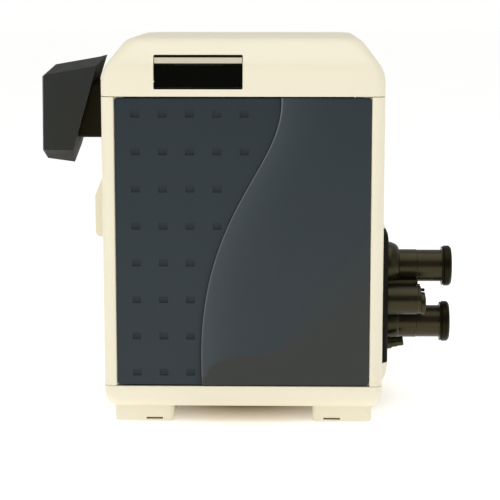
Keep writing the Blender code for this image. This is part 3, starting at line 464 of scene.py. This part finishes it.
LOOKS = build_materials()
SLOT_LOOKS = {
    "almond_plastic": "almond",
    "slate_plastic": "back",
    "black_plastic": "black",
    "gloss_black": "gloss",
    "label_film": "film",
    "key_rubber": "rubber",
    "screen_glass": "glass",
    "circuit_board": "board",
    "sheet_steel": "steel",
    "copper": "copper",
    "brass": "brass",
    "cast_aluminium": "cast",
    "ceramic": "ceramic",
    "spring_steel": "spring",
}


def dress_nodes():
    """Give every CAD node that stays visible the procedural material of its slot."""
    for entry in frame["record"]["subparts"]:
        look = LOOKS[SLOT_LOOKS[entry["material_slot"]]]
        node = frame["nodes"][entry["node"]]
        for material_slot in node.material_slots:
            material_slot.material = look


# --- Cabinet shells ----------------------------------------------------------------------------------------


FOOT_NEAR, FOOT_FAR = 0.134, 0.247  # a foot's inner and outer side, from the cabinet's middle
FOOT_HEIGHT = 0.032
EDGE_IN, EDGE_UP = 0.019, 0.038  # half axes of the base's elliptical lower edge


def base_tray():
    """Base with its elliptical lower edge and four rounded, slotted feet."""
    low, high = BASE_LOW.z, BASE_HIGH.z
    foot_top = low + FOOT_HEIGHT
    rings = []
    for i in range(13):
        t = math.radians(7.5 * i)
        rings.append(plan(EDGE_IN * (1 - math.sin(t)), foot_top + EDGE_UP * (1 - math.cos(t)), CORNER))
    for inset, drop in ((0.0, 0.0012), (0.0004, 0.0004), (0.0012, 0.0), (0.0034, 0.0), (0.0040, 0.0006)):
        rings.append(plan(inset, high - drop, CORNER - inset))
    floor = foot_top + 0.012
    rings += [plan(0.004, floor + 0.016, CORNER - 0.004), plan(0.014, floor, CORNER - 0.008)]
    tray = add_object("base_tray", loft(rings), LOOKS["almond"])
    feet = []
    slots = []
    for side_x in (-1, 1):
        for side_y in (-1, 1):
            xs = sorted((side_x * FOOT_NEAR, side_x * FOOT_FAR))
            ys = sorted((side_y * FOOT_NEAR, side_y * FOOT_FAR))
            rings = []
            for inset, z in softened([(0.010, low), (0.0, low), (0.0, foot_top + 0.006)], 0.007, 6)[1:]:
                outline = rounded((xs[0] + inset, ys[0] + inset), (xs[1] - inset, ys[1] - inset), 0.009)
                rings.append([(x, y, z) for x, y in outline])
            feet.append(loft(rings))
            xs = sorted((side_x * 0.155, side_x * 0.187))
            ys = sorted((side_y * (FOOT_FAR - 0.022), side_y * (FOOT_FAR + 0.020)))
            slots.append(block((xs[0], ys[0], low + 0.0045), (xs[1], ys[1], low + 0.0085)))
    join(tray, *feet)
    cut(tray, *slots)
    return settle(tray, "cabinet", "almond_plastic", "base_pan", degrees=28)


def strip(path, thickness):
    """Outline of a sheet of even thickness that follows a path of flat points."""
    sides = ([], [])
    for i, point in enumerate(path):
        before = Vector(path[max(i - 1, 0)])
        after = Vector(path[min(i + 1, len(path) - 1)])
        here = Vector(point)
        arrive = (here - before).normalized() if i else (after - here).normalized()
        leave = (after - here).normalized() if i < len(path) - 1 else arrive
        bisector = (arrive + leave).normalized()
        normal = Vector((-bisector.y, bisector.x))
        reach = thickness / 2 / max(normal.dot(Vector((-arrive.y, arrive.x))), 0.3)
        sides[0].append(tuple(here + normal * reach))
        sides[1].append(tuple(here - normal * reach))
    return sides[0] + sides[1][::-1]


def side_shell(node, side, *openings):
    """Side of the cabinet with its two rounded posts."""
    low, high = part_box(node)
    face = HALF - WALL / 2
    middle = PANEL_HIGH.x + 0.001 + WALL / 2
    turn = CORNER - WALL / 2
    ledge = PANEL_HIGH.y + 0.0004 + WALL / 2
    path = [(middle - 0.018, ledge), (middle, ledge), (middle, 0.0012 - face)]
    path += arc((middle + 0.0016, 0.0016 - face), 0.0016, 180, 270, 3)[1:]
    path += arc((face - turn, turn - face), turn, -90, 0, 12)
    path += arc((face - turn, face - turn), turn, 0, 90, 12)
    path.append((0.232, face))
    outline = [(side * x, y) for x, y in strip(path, WALL)]
    shell = add_object(node + "_fine", prism("Z", outline, low.z, high.z), LOOKS["almond"])
    if openings:
        cut(shell, *openings)
    bevel(shell, 0.0006, 2, 50)
    return settle(shell, "cabinet", "almond_plastic", node)


FLUE_HOLE = (-0.030, 0.579)  # Y and Z of the flue's way out
FLUE_HOLE_RADIUS = 0.041
OPENING_CORNER = 0.010


def side_shells():
    """Left side with the flue hole and the air inlet; right side with the opening for the water manifold."""
    inner, outer = HALF - 0.02, HALF + 0.02
    flue_hole = turned("X", FLUE_HOLE, [(-outer, FLUE_HOLE_RADIUS), (-inner, FLUE_HOLE_RADIUS)])
    air_inlet = block((-outer, -0.09, 0.352), (-inner, 0.09, 0.440), OPENING_CORNER, "X")
    water_opening = block((inner, -0.195, 0.09), (outer, -0.02, 0.345), OPENING_CORNER, "X")
    side_shell("left_side_panel", -1, flue_hole, air_inlet)
    side_shell("right_side_panel", 1, water_opening)


# Lid shapes: height where the upright face's line meets the slope's line, the slope's angle, and the radii
# of the shoulder below the slope and of the crown above it
LID_FRONT = (0.6907, math.radians(49.0), 0.0470, 0.0406)
LID_SIDE = (0.6727, math.radians(53.2), 0.0629, 0.0263)


def lid_arcs(shape, offset):
    """The lid's shoulder and crown for one shape: centre height, radius and centre inset of each arc."""
    shoulder_z, slope, shoulder, crown = shape
    low = shoulder_z - shoulder * math.tan((math.pi / 2 - slope) / 2)
    run = (LID_HIGH.z - shoulder_z) / math.tan(slope) + crown * math.tan(slope / 2)
    return (low, shoulder - offset, shoulder), (LID_HIGH.z - crown, crown - offset, run)


def lid_inset(shape, z, offset):
    """How far the lid's surface lies inside the cabinet's outline at height z."""
    slope = shape[1]
    (low, shoulder, shoulder_in), (high, crown, crown_in) = lid_arcs(shape, offset)
    if z <= low:
        return offset
    if z < low + shoulder * math.cos(slope):
        return shoulder_in - math.sqrt(shoulder**2 - (z - low) ** 2)
    if z > high + crown * math.cos(slope):
        return crown_in - math.sqrt(max(crown**2 - (z - high) ** 2, 0.0))
    return shoulder_in - shoulder * math.sin(slope) + (z - low - shoulder * math.cos(slope)) / math.tan(slope)


def lid_heights(offset, steps=14):
    """Heights of the lid's cross-sections, dense where either shape curves."""
    heights = {LID_LOW.z + 0.0014}
    for shape in (LID_FRONT, LID_SIDE):
        turn = math.pi / 2 - shape[1]
        (low, shoulder, _), (high, crown, _) = lid_arcs(shape, offset)
        for i in range(steps + 1):
            share = i / steps
            heights.add(low + shoulder * math.sin(turn * share))
            heights.add(high + crown * math.sin(turn + (math.pi / 2 - turn) * share))
    kept = []
    for z in sorted(heights, reverse=True):
        if not kept or kept[-1] - z > 0.00015:
            kept.append(z)
    return kept[::-1]


def lid_ring(z, offset, radius, rim=0.0):
    """Plan outline of the lid at height z, pulled in by rim."""
    front_in = lid_inset(LID_FRONT, z, offset)
    side, front = HALF - lid_inset(LID_SIDE, z, offset) - rim, HALF - front_in - rim
    return [(x, y, z) for x, y in rounded((-side, -front), (side, front), radius + 0.35 * front_in, 10)]


WINDOW = (-0.1665, 0.0, 0.641, 0.7048)  # left, right, bottom and top of the lid's window


def lid_shell():
    """Hipped lid with the control window."""
    outer = [lid_ring(LID_LOW.z + up, 0.0, CORNER, rim) for up, rim in ((0.0, 0.0014), (0.0004, 0.0004))]
    outer += [lid_ring(z, 0.0, CORNER) for z in lid_heights(0.0)]
    inner = [lid_ring(z, WALL, CORNER - 0.002) for z in lid_heights(WALL)]
    lid = add_object("lid_shell", loft(outer[::-1] + inner), LOOKS["almond"])
    left, right, bottom, top = WINDOW
    cut(lid, block((left, -HALF - 0.02, bottom), (right, -HALF + 0.045, top), 0.0025, "Y"))
    return settle(lid, "lid", "almond_plastic", "top_lid", degrees=28)


# Control points, X and Z, of the curve along the raised field's edge
SWEEP = ((0.0716, 0.628), (0.0805, 0.486), (-0.0992, 0.4154), (-0.0787, 0.073))


def sweep_at(z):
    """X of the raised field's edge at height z."""
    low, high = 0.0, 1.0
    for _ in range(30):
        middle = (low + high) / 2
        weights = ((1 - middle) ** 3, 3 * (1 - middle) ** 2 * middle, 3 * (1 - middle) * middle**2, middle**3)
        here = sum(w * h[1] for w, h in zip(weights, SWEEP))
        if here > z:
            low = middle
        else:
            high = middle
    return sum(w * h[0] for w, h in zip(weights, SWEEP))


def panel_depth(reach, x):
    """How far the front face stands forward, by the distance from the raised edge (positive to its right)."""
    rise, width, cove = 0.0033, 0.0040, 0.0080
    if reach <= -cove:
        return 0.0
    if reach <= 0:
        return -0.0006 * (1 + reach / cove) ** 2
    if reach < width:
        return rise * math.sqrt(1 - (1 - reach / width) ** 2)
    fade = (reach - width) / max(PANEL_HIGH.x - x + reach - width, 1e-6)
    return rise - 0.0016 * math.sin(min(fade, 1.0) * math.pi / 2)


PANEL_CORNER = 0.0066
PANEL_ROUND = 0.0016  # rounding of the panel's front edge
# Spacing of the panel's points: in from its sides, in from its top and bottom, and across the raised edge
EDGE_STEPS = (0.0, 0.0004, 0.0010, 0.0018)
CORNER_STEPS = (0.0, 0.0004, 0.0010, 0.0018, 0.0030, 0.0046, PANEL_CORNER)
FOOT_STEPS = (-0.0080, -0.0050, -0.0025, -0.0008)
CREST_STEPS = (0.0, 0.0002, 0.0006, 0.0012, 0.0019, 0.0027, 0.0040, 0.0065)
SWEEP_STEPS = FOOT_STEPS + CREST_STEPS
FLAT_COLUMNS, RAISED_COLUMNS, PANEL_ROWS = 24, 40, 140
PANEL_FIELD = PANEL_LOW.y + 0.0033  # Y of the flat field's face


def between(start, end, count):
    """Evenly spaced values that leave out both ends."""
    return [start + (end - start) * i / count for i in range(1, count)]


def panel_heights():
    low = [PANEL_LOW.z + d for d in CORNER_STEPS]
    high = [PANEL_HIGH.z - d for d in reversed(CORNER_STEPS)]
    return low + between(low[-1], high[0], PANEL_ROWS) + high


def panel_row(z):
    """X places of one row of points, and the left and right end of the panel at that height."""
    rise = min(z - PANEL_LOW.z, PANEL_HIGH.z - z, PANEL_CORNER)
    inset = PANEL_CORNER - math.sqrt(PANEL_CORNER**2 - (PANEL_CORNER - rise) ** 2)
    left, right = PANEL_LOW.x + inset, PANEL_HIGH.x - inset
    sweep = sweep_at(z)
    xs = [left + d for d in EDGE_STEPS]
    xs += between(xs[-1], sweep + SWEEP_STEPS[0], FLAT_COLUMNS)
    xs += [sweep + d for d in SWEEP_STEPS]
    xs += between(xs[-1], right - EDGE_STEPS[-1], RAISED_COLUMNS)
    xs += [right - d for d in reversed(EDGE_STEPS)]
    return xs, left, right


def door_panel():
    """Front panel as one fine sheet: flat field with dimples, swept edge, gently crowned raised field."""
    bm = bmesh.new()
    front = []
    for z in panel_heights():
        xs, left, right = panel_row(z)
        sweep = sweep_at(z)
        row = []
        for x in xs:
            y = PANEL_FIELD - panel_depth(x - sweep, x)
            margin = min(x - left, right - x, z - PANEL_LOW.z, PANEL_HIGH.z - z)
            if margin < PANEL_ROUND:
                y += PANEL_ROUND - math.sqrt(max(PANEL_ROUND**2 - (PANEL_ROUND - margin) ** 2, 0.0))
            row.append(bm.verts.new((x, y, z)))
        front.append(row)
    columns, rows = len(front[0]), len(front)
    split = len(EDGE_STEPS) + FLAT_COLUMNS - 1 + len(FOOT_STEPS)  # first column of the raised field
    for j in range(rows - 1):
        for i in range(columns - 1):
            face = bm.faces.new((front[j][i], front[j][i + 1], front[j + 1][i + 1], front[j + 1][i]))
            face.material_index = 1 if i >= split else 0
    rim = front[0] + [row[-1] for row in front[1:]]
    rim += front[-1][-2::-1] + [row[0] for row in front[-2:0:-1]]
    rear = [bm.verts.new((v.co.x, PANEL_HIGH.y, v.co.z)) for v in rim]
    for k in range(len(rim)):
        n = (k + 1) % len(rim)
        bm.faces.new((rim[k], rim[n], rear[n], rear[k]))
    bm.faces.new(rear)
    panel = add_object("door_panel", bm, LOOKS["slate"], LOOKS["crest"])
    cut(panel, *louvre_dimples())
    shade_panel(panel.data)
    return settle(panel, "front_panel", "slate_plastic", "front_panel", degrees=30)


def painted_reflection_below(x):
    """Height under which the raised field takes the painted warm grey reflection of the floor, and how softly
    it turns.
    """
    start, level, flat = -0.0726, 0.1365, 0.030
    if x < flat:
        share = min((flat - x) / (flat - start), 1.0)
        return 0.0925 + (level - 0.0925) * math.sqrt(1 - share**2), 0.006
    return level + max(x - 0.055, 0.0) * 0.95, 0.010 + max(x - 0.02, 0.0) * 1.1


def shade_panel(mesh):
    """Store the panel's painted light: painted shade in the dimples and at the edge's foot, a painted
    highlight along its crest, and a painted warm grey floor reflection low on the raised field.
    """
    painted_light = mesh.attributes.new("painted_light", "FLOAT", "POINT")
    painted_floor_reflection = mesh.attributes.new("painted_floor_reflection", "FLOAT", "POINT")
    for i, vert in enumerate(mesh.vertices):
        x, y, z = vert.co
        reach = x - sweep_at(min(max(z, PANEL_LOW.z), PANEL_HIGH.z))
        if reach < 0.0001:
            # Painted shade at the foot of the raised edge.
            value = 0.5 - 0.17 * math.exp(reach / 0.0050)
            # Painted shade on the dimples' sloping lower edge.
            if PANEL_FIELD + 0.0004 < y < PANEL_FIELD + 0.0020:
                value -= 0.24 * (y - PANEL_FIELD) / 0.0016
        else:
            height = (z - PANEL_LOW.z) / (PANEL_HIGH.z - PANEL_LOW.z)
            # Painted highlight: the field is lighter near the edge, with a bright line along the crest that
            # grows towards the top.
            value = 0.5 + 0.085 * math.exp(-reach / 0.036)
            value += (0.10 + 0.34 * math.sqrt(height)) * math.exp(-(((reach - 0.0012) / 0.0013) ** 2))
            # Painted warm grey reflection of the floor low on the raised field, with the field a little
            # darker where it lies.
            level, soft = painted_reflection_below(x)
            share = min(max((level - z) / soft + 0.5, 0.0), 1.0)
            painted_floor_reflection.data[i].value = share * share * (3 - 2 * share)
            value -= 0.075 * painted_floor_reflection.data[i].value * math.exp(-reach / 0.036)
        painted_light.data[i].value = min(max(value, 0.0), 1.0)


DIMPLES_PER_ROW = (5, 5, 4, 4, 3, 3, 3, 3)
FIRST_DIMPLE = (-0.2020, 0.595)  # X and Z of the upper left dimple
DIMPLE_PITCH = (0.0512, 0.0706)


def louvre_dimples():
    """Cutters for the rows of small dimples in the flat field."""
    dimples = []
    for row, count in enumerate(DIMPLES_PER_ROW):
        z = FIRST_DIMPLE[1] - DIMPLE_PITCH[1] * row
        for column in range(count):
            dimples.append(louvre_dimple(FIRST_DIMPLE[0] + DIMPLE_PITCH[0] * column, z))
    return dimples


def louvre_dimple(x, z):
    """Dimple: shallow along its top edge, deep along its sloping lower edge."""
    half_x, half_z = 0.0085, 0.0075
    outside, shallow, deep = PANEL_FIELD - 0.001, PANEL_FIELD + 0.0006, PANEL_FIELD + 0.0016
    face = rounded((x - half_x, z - half_z), (x + half_x, z + half_z), 0.0012, 2)
    rings = [[(px, outside, pz) for px, pz in face]]
    bottom, top = z - half_z + 0.0020, z + half_z - 0.0006
    floor = rounded((x - half_x + 0.0006, bottom), (x + half_x - 0.0006, top), 0.0012, 2)
    slope = (shallow - deep) / (top - bottom)
    rings.append([(px, deep + slope * (pz - bottom), pz) for px, pz in floor])
    return loft(rings)


def exhaust_shell():
    """Exhaust hood; the facets that face down get a darker copy of its plastic as painted shade."""
    hood = refined("exhaust_hood", "cabinet", "black_plastic", LOOKS["hood"], 0.0018, 3, 12)
    hood.data.materials.append(LOOKS["hood_painted_shade"])
    for face in hood.data.polygons:
        if face.normal.z < -0.25 and face.normal.y < 0.3:
            face.material_index = 1


def trims():
    """Rounded copies of the plainer shells."""
    refined("exhaust_collar", "cabinet", "black_plastic", LOOKS["lip"], 0.0008, 2)
    refined("air_intake_cowl", "cabinet", "almond_plastic", LOOKS["almond"], 0.0016, 3, 30)
    refined("connection_surround", "cabinet", "almond_plastic", LOOKS["almond"], 0.0008, 2, 40)
    refined("water_connection_cover", "cabinet", "slate_plastic", LOOKS["cover"], 0.0012, 3, 24)


# --- Water side --------------------------------------------------------------------------------------------


PORT_Y = -0.090
UPPER_Z, LOWER_Z = 0.281, 0.1685
UPPER_ROOT, LOWER_ROOT = 0.048, 0.038
PORT_RADIUS, PORT_BORE, LIP_RADIUS = 0.0325, 0.026, 0.040
ROOT_LENGTH, LIP_LENGTH = 0.0265, 0.0185
COVER_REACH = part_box("water_connection_cover")[1].x
PORT_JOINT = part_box("upper_port_pipe")[0].x
REGULATOR = (-0.150, 0.222)
REGULATOR_RADIUS = 0.0285
CAP_Z, CAP_BORE = 0.2155, 0.0185
DRAIN = (-0.136, 0.134)
DRAIN_ROOT = 0.290
DRAIN_TILT = math.radians(8.0)
CHAMBER_END = 0.273  # outer face of the manifold's body


def port_stub(z, root):
    """Stub of a water port on the manifold, with its swollen root."""
    steps = 10
    profile = [(CHAMBER_END - 0.004, root)]
    for i in range(steps + 1):
        turn = math.pi / 2 * i / steps
        radius = PORT_RADIUS + (root - PORT_RADIUS) * math.cos(turn)
        profile.append((COVER_REACH + ROOT_LENGTH * math.sin(turn), radius))
    end = PORT_JOINT - 0.0004
    profile += [(end - 0.0006, PORT_RADIUS), (end, PORT_RADIUS - 0.0006)]
    return turned("X", (PORT_Y, z), profile)


def port_pipe(node, z):
    """Port pipe with its grooved lip; the lip is of a deeper black."""
    low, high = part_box(node)
    body, end = PORT_RADIUS - 0.0008, high.x
    lip = end - LIP_LENGTH
    groove = LIP_RADIUS - 0.0025
    outside = [(low.x, body), (lip, body), (lip, groove + 0.001), (lip + 0.0025, groove + 0.001)]
    outside += [(lip + 0.0025, groove), (lip + 0.0035, groove), (lip + 0.0045, LIP_RADIUS)]
    outside += [(end - 0.004, LIP_RADIUS), (end, LIP_RADIUS - 0.004), (end, PORT_BORE)]
    profile = softened(outside, 0.0007) + [(low.x, PORT_BORE)]
    body_of_pipe = turned("X", (PORT_Y, z), profile, closed=True)
    pipe = add_object(node + "_fine", body_of_pipe, LOOKS["black"], LOOKS["lip"])
    for face in pipe.data.polygons:
        if face.center.x > lip:
            face.material_index = 1
    return settle(pipe, "cabinet", "black_plastic", node)


def tilted(bm):
    """Tilt a body that lies along the X axis of the drain to the drain's own direction."""
    turn = Matrix.Rotation(-DRAIN_TILT, 3, "Y")
    bmesh.ops.rotate(bm, verts=bm.verts, cent=(DRAIN_ROOT, *DRAIN), matrix=turn)
    return bm


def manifold_shell():
    """Moulded manifold with its port stubs, regulator housing, web, lug and drain boss."""
    low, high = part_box("water_manifold")
    body_low = (low.x, -0.186, 0.095)
    body_high = (CHAMBER_END, -0.030, 0.335)
    manifold = add_object("manifold_shell", block(body_low, body_high, 0.012, "X"), LOOKS["black"])
    root, end = CHAMBER_END - 0.004, high.x
    shoulder = REGULATOR_RADIUS - 0.001
    housing = [(root, REGULATOR_RADIUS), (end - 0.006, REGULATOR_RADIUS)]
    housing += [(end - 0.005, shoulder), (end, shoulder)]
    web_low, web_high = (COVER_REACH + 0.001, -0.136, 0.236), (PORT_JOINT - 0.0004, -0.106, 0.258)
    lug_low, lug_high = (0.337, -0.157, 0.240), (0.3445, -0.141, 0.2535)
    join(
        manifold,
        port_stub(UPPER_Z, UPPER_ROOT),
        port_stub(LOWER_Z, LOWER_ROOT),
        turned("X", REGULATOR, softened(housing, 0.0006)),
        block(web_low, web_high, 0.003, "X"),
        block(lug_low, lug_high, 0.004, "X"),
        tilted(turned("X", DRAIN, [(root - 0.004, 0.012), (DRAIN_ROOT, 0.012)], 32)),
    )
    wall = 0.008
    x0, x1 = low.x + wall, CHAMBER_END - wall
    y0, y1 = body_low[1] + wall, body_high[1] - wall
    cut(manifold, block((x0, y0, 0.103), (x1, y1, 0.213)), block((x0, y0, 0.220), (x1, y1, 0.327)))
    bores = [tilted(turned("X", DRAIN, [(x1 - 0.012, 0.007), (0.320, 0.007)], 32))]
    for z in (UPPER_Z, LOWER_Z):
        bores.append(turned("X", (PORT_Y, z), [(x1 - 0.010, PORT_BORE), (high.x + 0.1, PORT_BORE)]))
    for z in (0.270, LOWER_Z):
        bores.append(turned("X", (PORT_Y, z), [(x0 - 0.030, 0.024), (x0 + 0.010, 0.024)]))
    bores.append(turned("X", (REGULATOR[0], CAP_Z), [(x1 - 0.010, CAP_BORE), (high.x + 0.1, CAP_BORE)]))
    bores.append(turned("Z", (0.236, -0.070), [(0.203, 0.020), (0.230, 0.020)], 32))
    cut(manifold, *bores)
    return settle(manifold, "cabinet", "black_plastic", "water_manifold", degrees=28)


def bypass_spring():
    """Coil spring between the bypass plunger and the chamber's roof."""
    low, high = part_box("bypass_spring")
    wire, turns, per_turn = 0.0010, 5, 32
    bottom, top = low.z + wire, high.z - wire
    centre_x, centre_y = (low.x + high.x) / 2, (low.y + high.y) / 2
    radius = (high.x - low.x) / 2 - wire
    climb = math.atan2((top - bottom) / turns, 2 * math.pi * radius)
    rings = []
    for i in range(turns * per_turn + 1):
        angle = 2 * math.pi * i / per_turn
        z = bottom + (top - bottom) * i / (turns * per_turn)
        outward = Vector((math.cos(angle), math.sin(angle), 0.0))
        forward = Vector((-math.sin(angle), math.cos(angle), 0.0))
        upward = Vector((0.0, 0.0, math.cos(climb))) - forward * math.sin(climb)
        middle = Vector((centre_x, centre_y, z)) + outward * radius
        rings.append([tuple(middle + (outward * u + upward * v)) for u, v in arc((0, 0), wire, 0, 330, 11)])
    spring = add_object("bypass_spring_fine", loft(rings), LOOKS["spring"])
    settle(spring, "cabinet", "spring_steel", "bypass_spring")
    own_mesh(spring)


def water_fittings():
    bypass_spring()
    port_pipe("upper_port_pipe", UPPER_Z)
    port_pipe("lower_port_pipe", LOWER_Z)
    refined("regulator_cap", "cabinet", "black_plastic", LOOKS["black"], 0.0009, 2, 25)
    refined("drain_plug", "drain_plug", "black_plastic", LOOKS["black"], 0.0005, 2, 25)
    refined("regulator_bolt", "cabinet", "sheet_steel", LOOKS["lip"], 0.0004, 2, 25)


# Bodies of the inner parts that move; the others belong to the cabinet
INNER_BODIES = {
    "impeller": "blower_rotor",
    "gas_valve_knob": "gas_valve_knob",
    "regulator_cartridge": "regulator_cartridge",
}
INNER_PARTS = (
    "heat_exchanger_tub combustion_dome burner igniter sight_glass blower_housing impeller blower_motor "
    "air_gas_mixer gas_valve gas_valve_knob tube_header water_pressure_switch high_limit_switch thermistor "
    "ignition_module transformer junction_box junction_box_cover regulator_cartridge"
).split()


def inner_parts():
    """Rounded copies of the machinery that shows when the lid and the front panel are off."""
    for entry in frame["record"]["subparts"]:
        node = entry["node"]
        if node in INNER_PARTS:
            look = LOOKS[SLOT_LOOKS[entry["material_slot"]]]
            refined(node, INNER_BODIES.get(node, "cabinet"), entry["material_slot"], look, 0.0008, 2, 30)


# --- Controls ----------------------------------------------------------------------------------------------


def controls():
    """Rounded door, strip, bezel and keys in the lid's window."""
    refined("display_door", "display_door", "gloss_black", LOOKS["gloss"], 0.0006, 3, 30)
    refined("label_strip", "lid", "label_film", LOOKS["film"], 0.0003, 2)
    refined("control_bezel", "lid", "black_plastic", LOOKS["black"], 0.0004, 2)
    for name in ("pool", "spa", "off", "menu", "up", "down"):
        refined("key_" + name, "key_" + name, "key_rubber", LOOKS["rubber"], 0.0007, 3)


# --- Studio ------------------------------------------------------------------------------------------------


FLOOR_GLOW = 0.50  # how strongly the floor lights the object from below


def floor_material():
    """Pale floor that takes the object's soft shadow, deepened near the object by painted shade, and fades to
    even white away from it.
    """
    shader = Shader("pale_floor")
    length = shader.tree.nodes.new("ShaderNodeVectorMath")
    length.operation = "LENGTH"
    shader.link(shader.place, length.inputs[0])
    # The glow falls away towards the object and so adds painted shade round its base to the rendered shadow.
    glow = shader.spread(length.outputs["Value"], 0.0, FLOOR_GLOW, (0.13, 0.34))
    pale = shader.blend(shader.spread(shader.noise(3.0), 0.0, 1.0), (0.90, 0.90, 0.895), (0.93, 0.93, 0.925))
    # Painted warm bounce light from the almond body on the floor under the object.
    painted_warm_light = shader.spread(length.outputs["Value"], 1.0, 0.0, (0.20, 0.30))
    shader.link(shader.blend(painted_warm_light, pale, (0.95, 0.84, 0.66)), shader.surface.inputs["Base Color"])
    shader.link(glow, shader.surface.inputs["Emission Strength"])
    shader.surface.inputs["Emission Color"].default_value = (1.0, 1.0, 1.0, 1.0)
    shader.surface.inputs["Roughness"].default_value = 0.9
    shader.surface.inputs["Specular IOR Level"].default_value = 0.1
    return shader.material


def studio_floor():
    """Wide pale floor."""
    bm = bmesh.new()
    corners = ((-30, -30), (30, -30), (30, 30), (-30, 30))
    bm.faces.new([bm.verts.new((x, y, 0.0)) for x, y in corners])
    add_object("studio_floor", bm, floor_material())


def area_light(name, spot, target, size, power, colour=(1.0, 1.0, 1.0)):
    light = bpy.data.lights.new(name, "AREA")
    light.shape = "RECTANGLE"
    light.size, light.size_y = size
    light.energy = power
    light.color = colour
    lamp = bpy.data.objects.new(name, light)
    lamp.location = spot
    lamp.rotation_euler = (Vector(target) - Vector(spot)).to_track_quat("-Z", "Y").to_euler()
    bpy.context.collection.objects.link(lamp)


SOFT_FILL = 0.54  # strength of the even light that fills the studio
DIM_FRONT = 0.03  # what polished faces see in front of the object


def studio_world():
    """Even fill light; polished faces see a dim studio in front and a bright one behind."""
    world = bpy.data.worlds.new("studio")
    bpy.context.scene.world = world
    world.use_nodes = True
    nodes, links = world.node_tree.nodes, world.node_tree.links
    parts = nodes.new("ShaderNodeSeparateXYZ")
    links.new(nodes.new("ShaderNodeTexCoord").outputs["Generated"], parts.inputs[0])
    ramp = nodes.new("ShaderNodeMapRange")
    ramp.interpolation_type = "SMOOTHSTEP"
    ramp.inputs["From Min"].default_value = -0.9
    ramp.inputs["From Max"].default_value = 0.3
    ramp.inputs["To Min"].default_value = DIM_FRONT
    ramp.inputs["To Max"].default_value = 0.5
    links.new(parts.outputs["Y"], ramp.inputs["Value"])
    path = nodes.new("ShaderNodeLightPath")
    strength = SOFT_FILL
    seen_by = ((path.outputs["Is Glossy Ray"], ramp.outputs["Result"]), (path.outputs["Is Camera Ray"], 1.0))
    for is_ray, value in seen_by:
        mix = nodes.new("ShaderNodeMix")
        mix.data_type = "FLOAT"
        links.new(is_ray, mix.inputs["Factor"])
        for socket, source in ((mix.inputs[2], strength), (mix.inputs[3], value)):
            if isinstance(source, float):
                socket.default_value = source
            else:
                links.new(source, socket)
        strength = mix.outputs[0]
    background = nodes["Background"]
    background.inputs["Color"].default_value = (1.0, 0.998, 0.993, 1.0)
    links.new(strength, background.inputs["Strength"])


def studio():
    studio_floor()
    studio_world()
    area_light("left_softbox", (-2.9, -2.7, 1.7), (0, 0, 0.35), (2.2, 2.4), 8)
    area_light("right_softbox", (2.9, -2.7, 1.7), (0, 0, 0.35), (2.2, 2.4), 8)
    area_light("overhead", (0.0, -0.9, 3.2), (0, 0, 0.2), (3.4, 3.4), 44)
    area_light("edge_light", (-2.6, -1.4, 0.95), (0, 0, 0.4), (0.4, 1.8), 5)
    scene = bpy.context.scene
    scene.view_settings.view_transform = "Standard"
    scene.view_settings.look = "None"


def camera():
    """Camera at the viewing height and distance of a product shot from the front."""
    data = bpy.data.cameras.new("camera")
    data.sensor_width = 36.0
    data.lens = 119.2
    made = bpy.data.objects.new("camera", data)
    made.location = (0.0783, -3.3542, 0.8261)
    made.rotation_euler = (math.radians(90 - 8.966), 0.0, math.radians(1.2))
    bpy.context.collection.objects.link(made)
    bpy.context.scene.camera = made


dress_nodes()
base_tray()
side_shells()
lid_shell()
door_panel()
exhaust_shell()
trims()
manifold_shell()
water_fittings()
inner_parts()
controls()
studio()
camera()
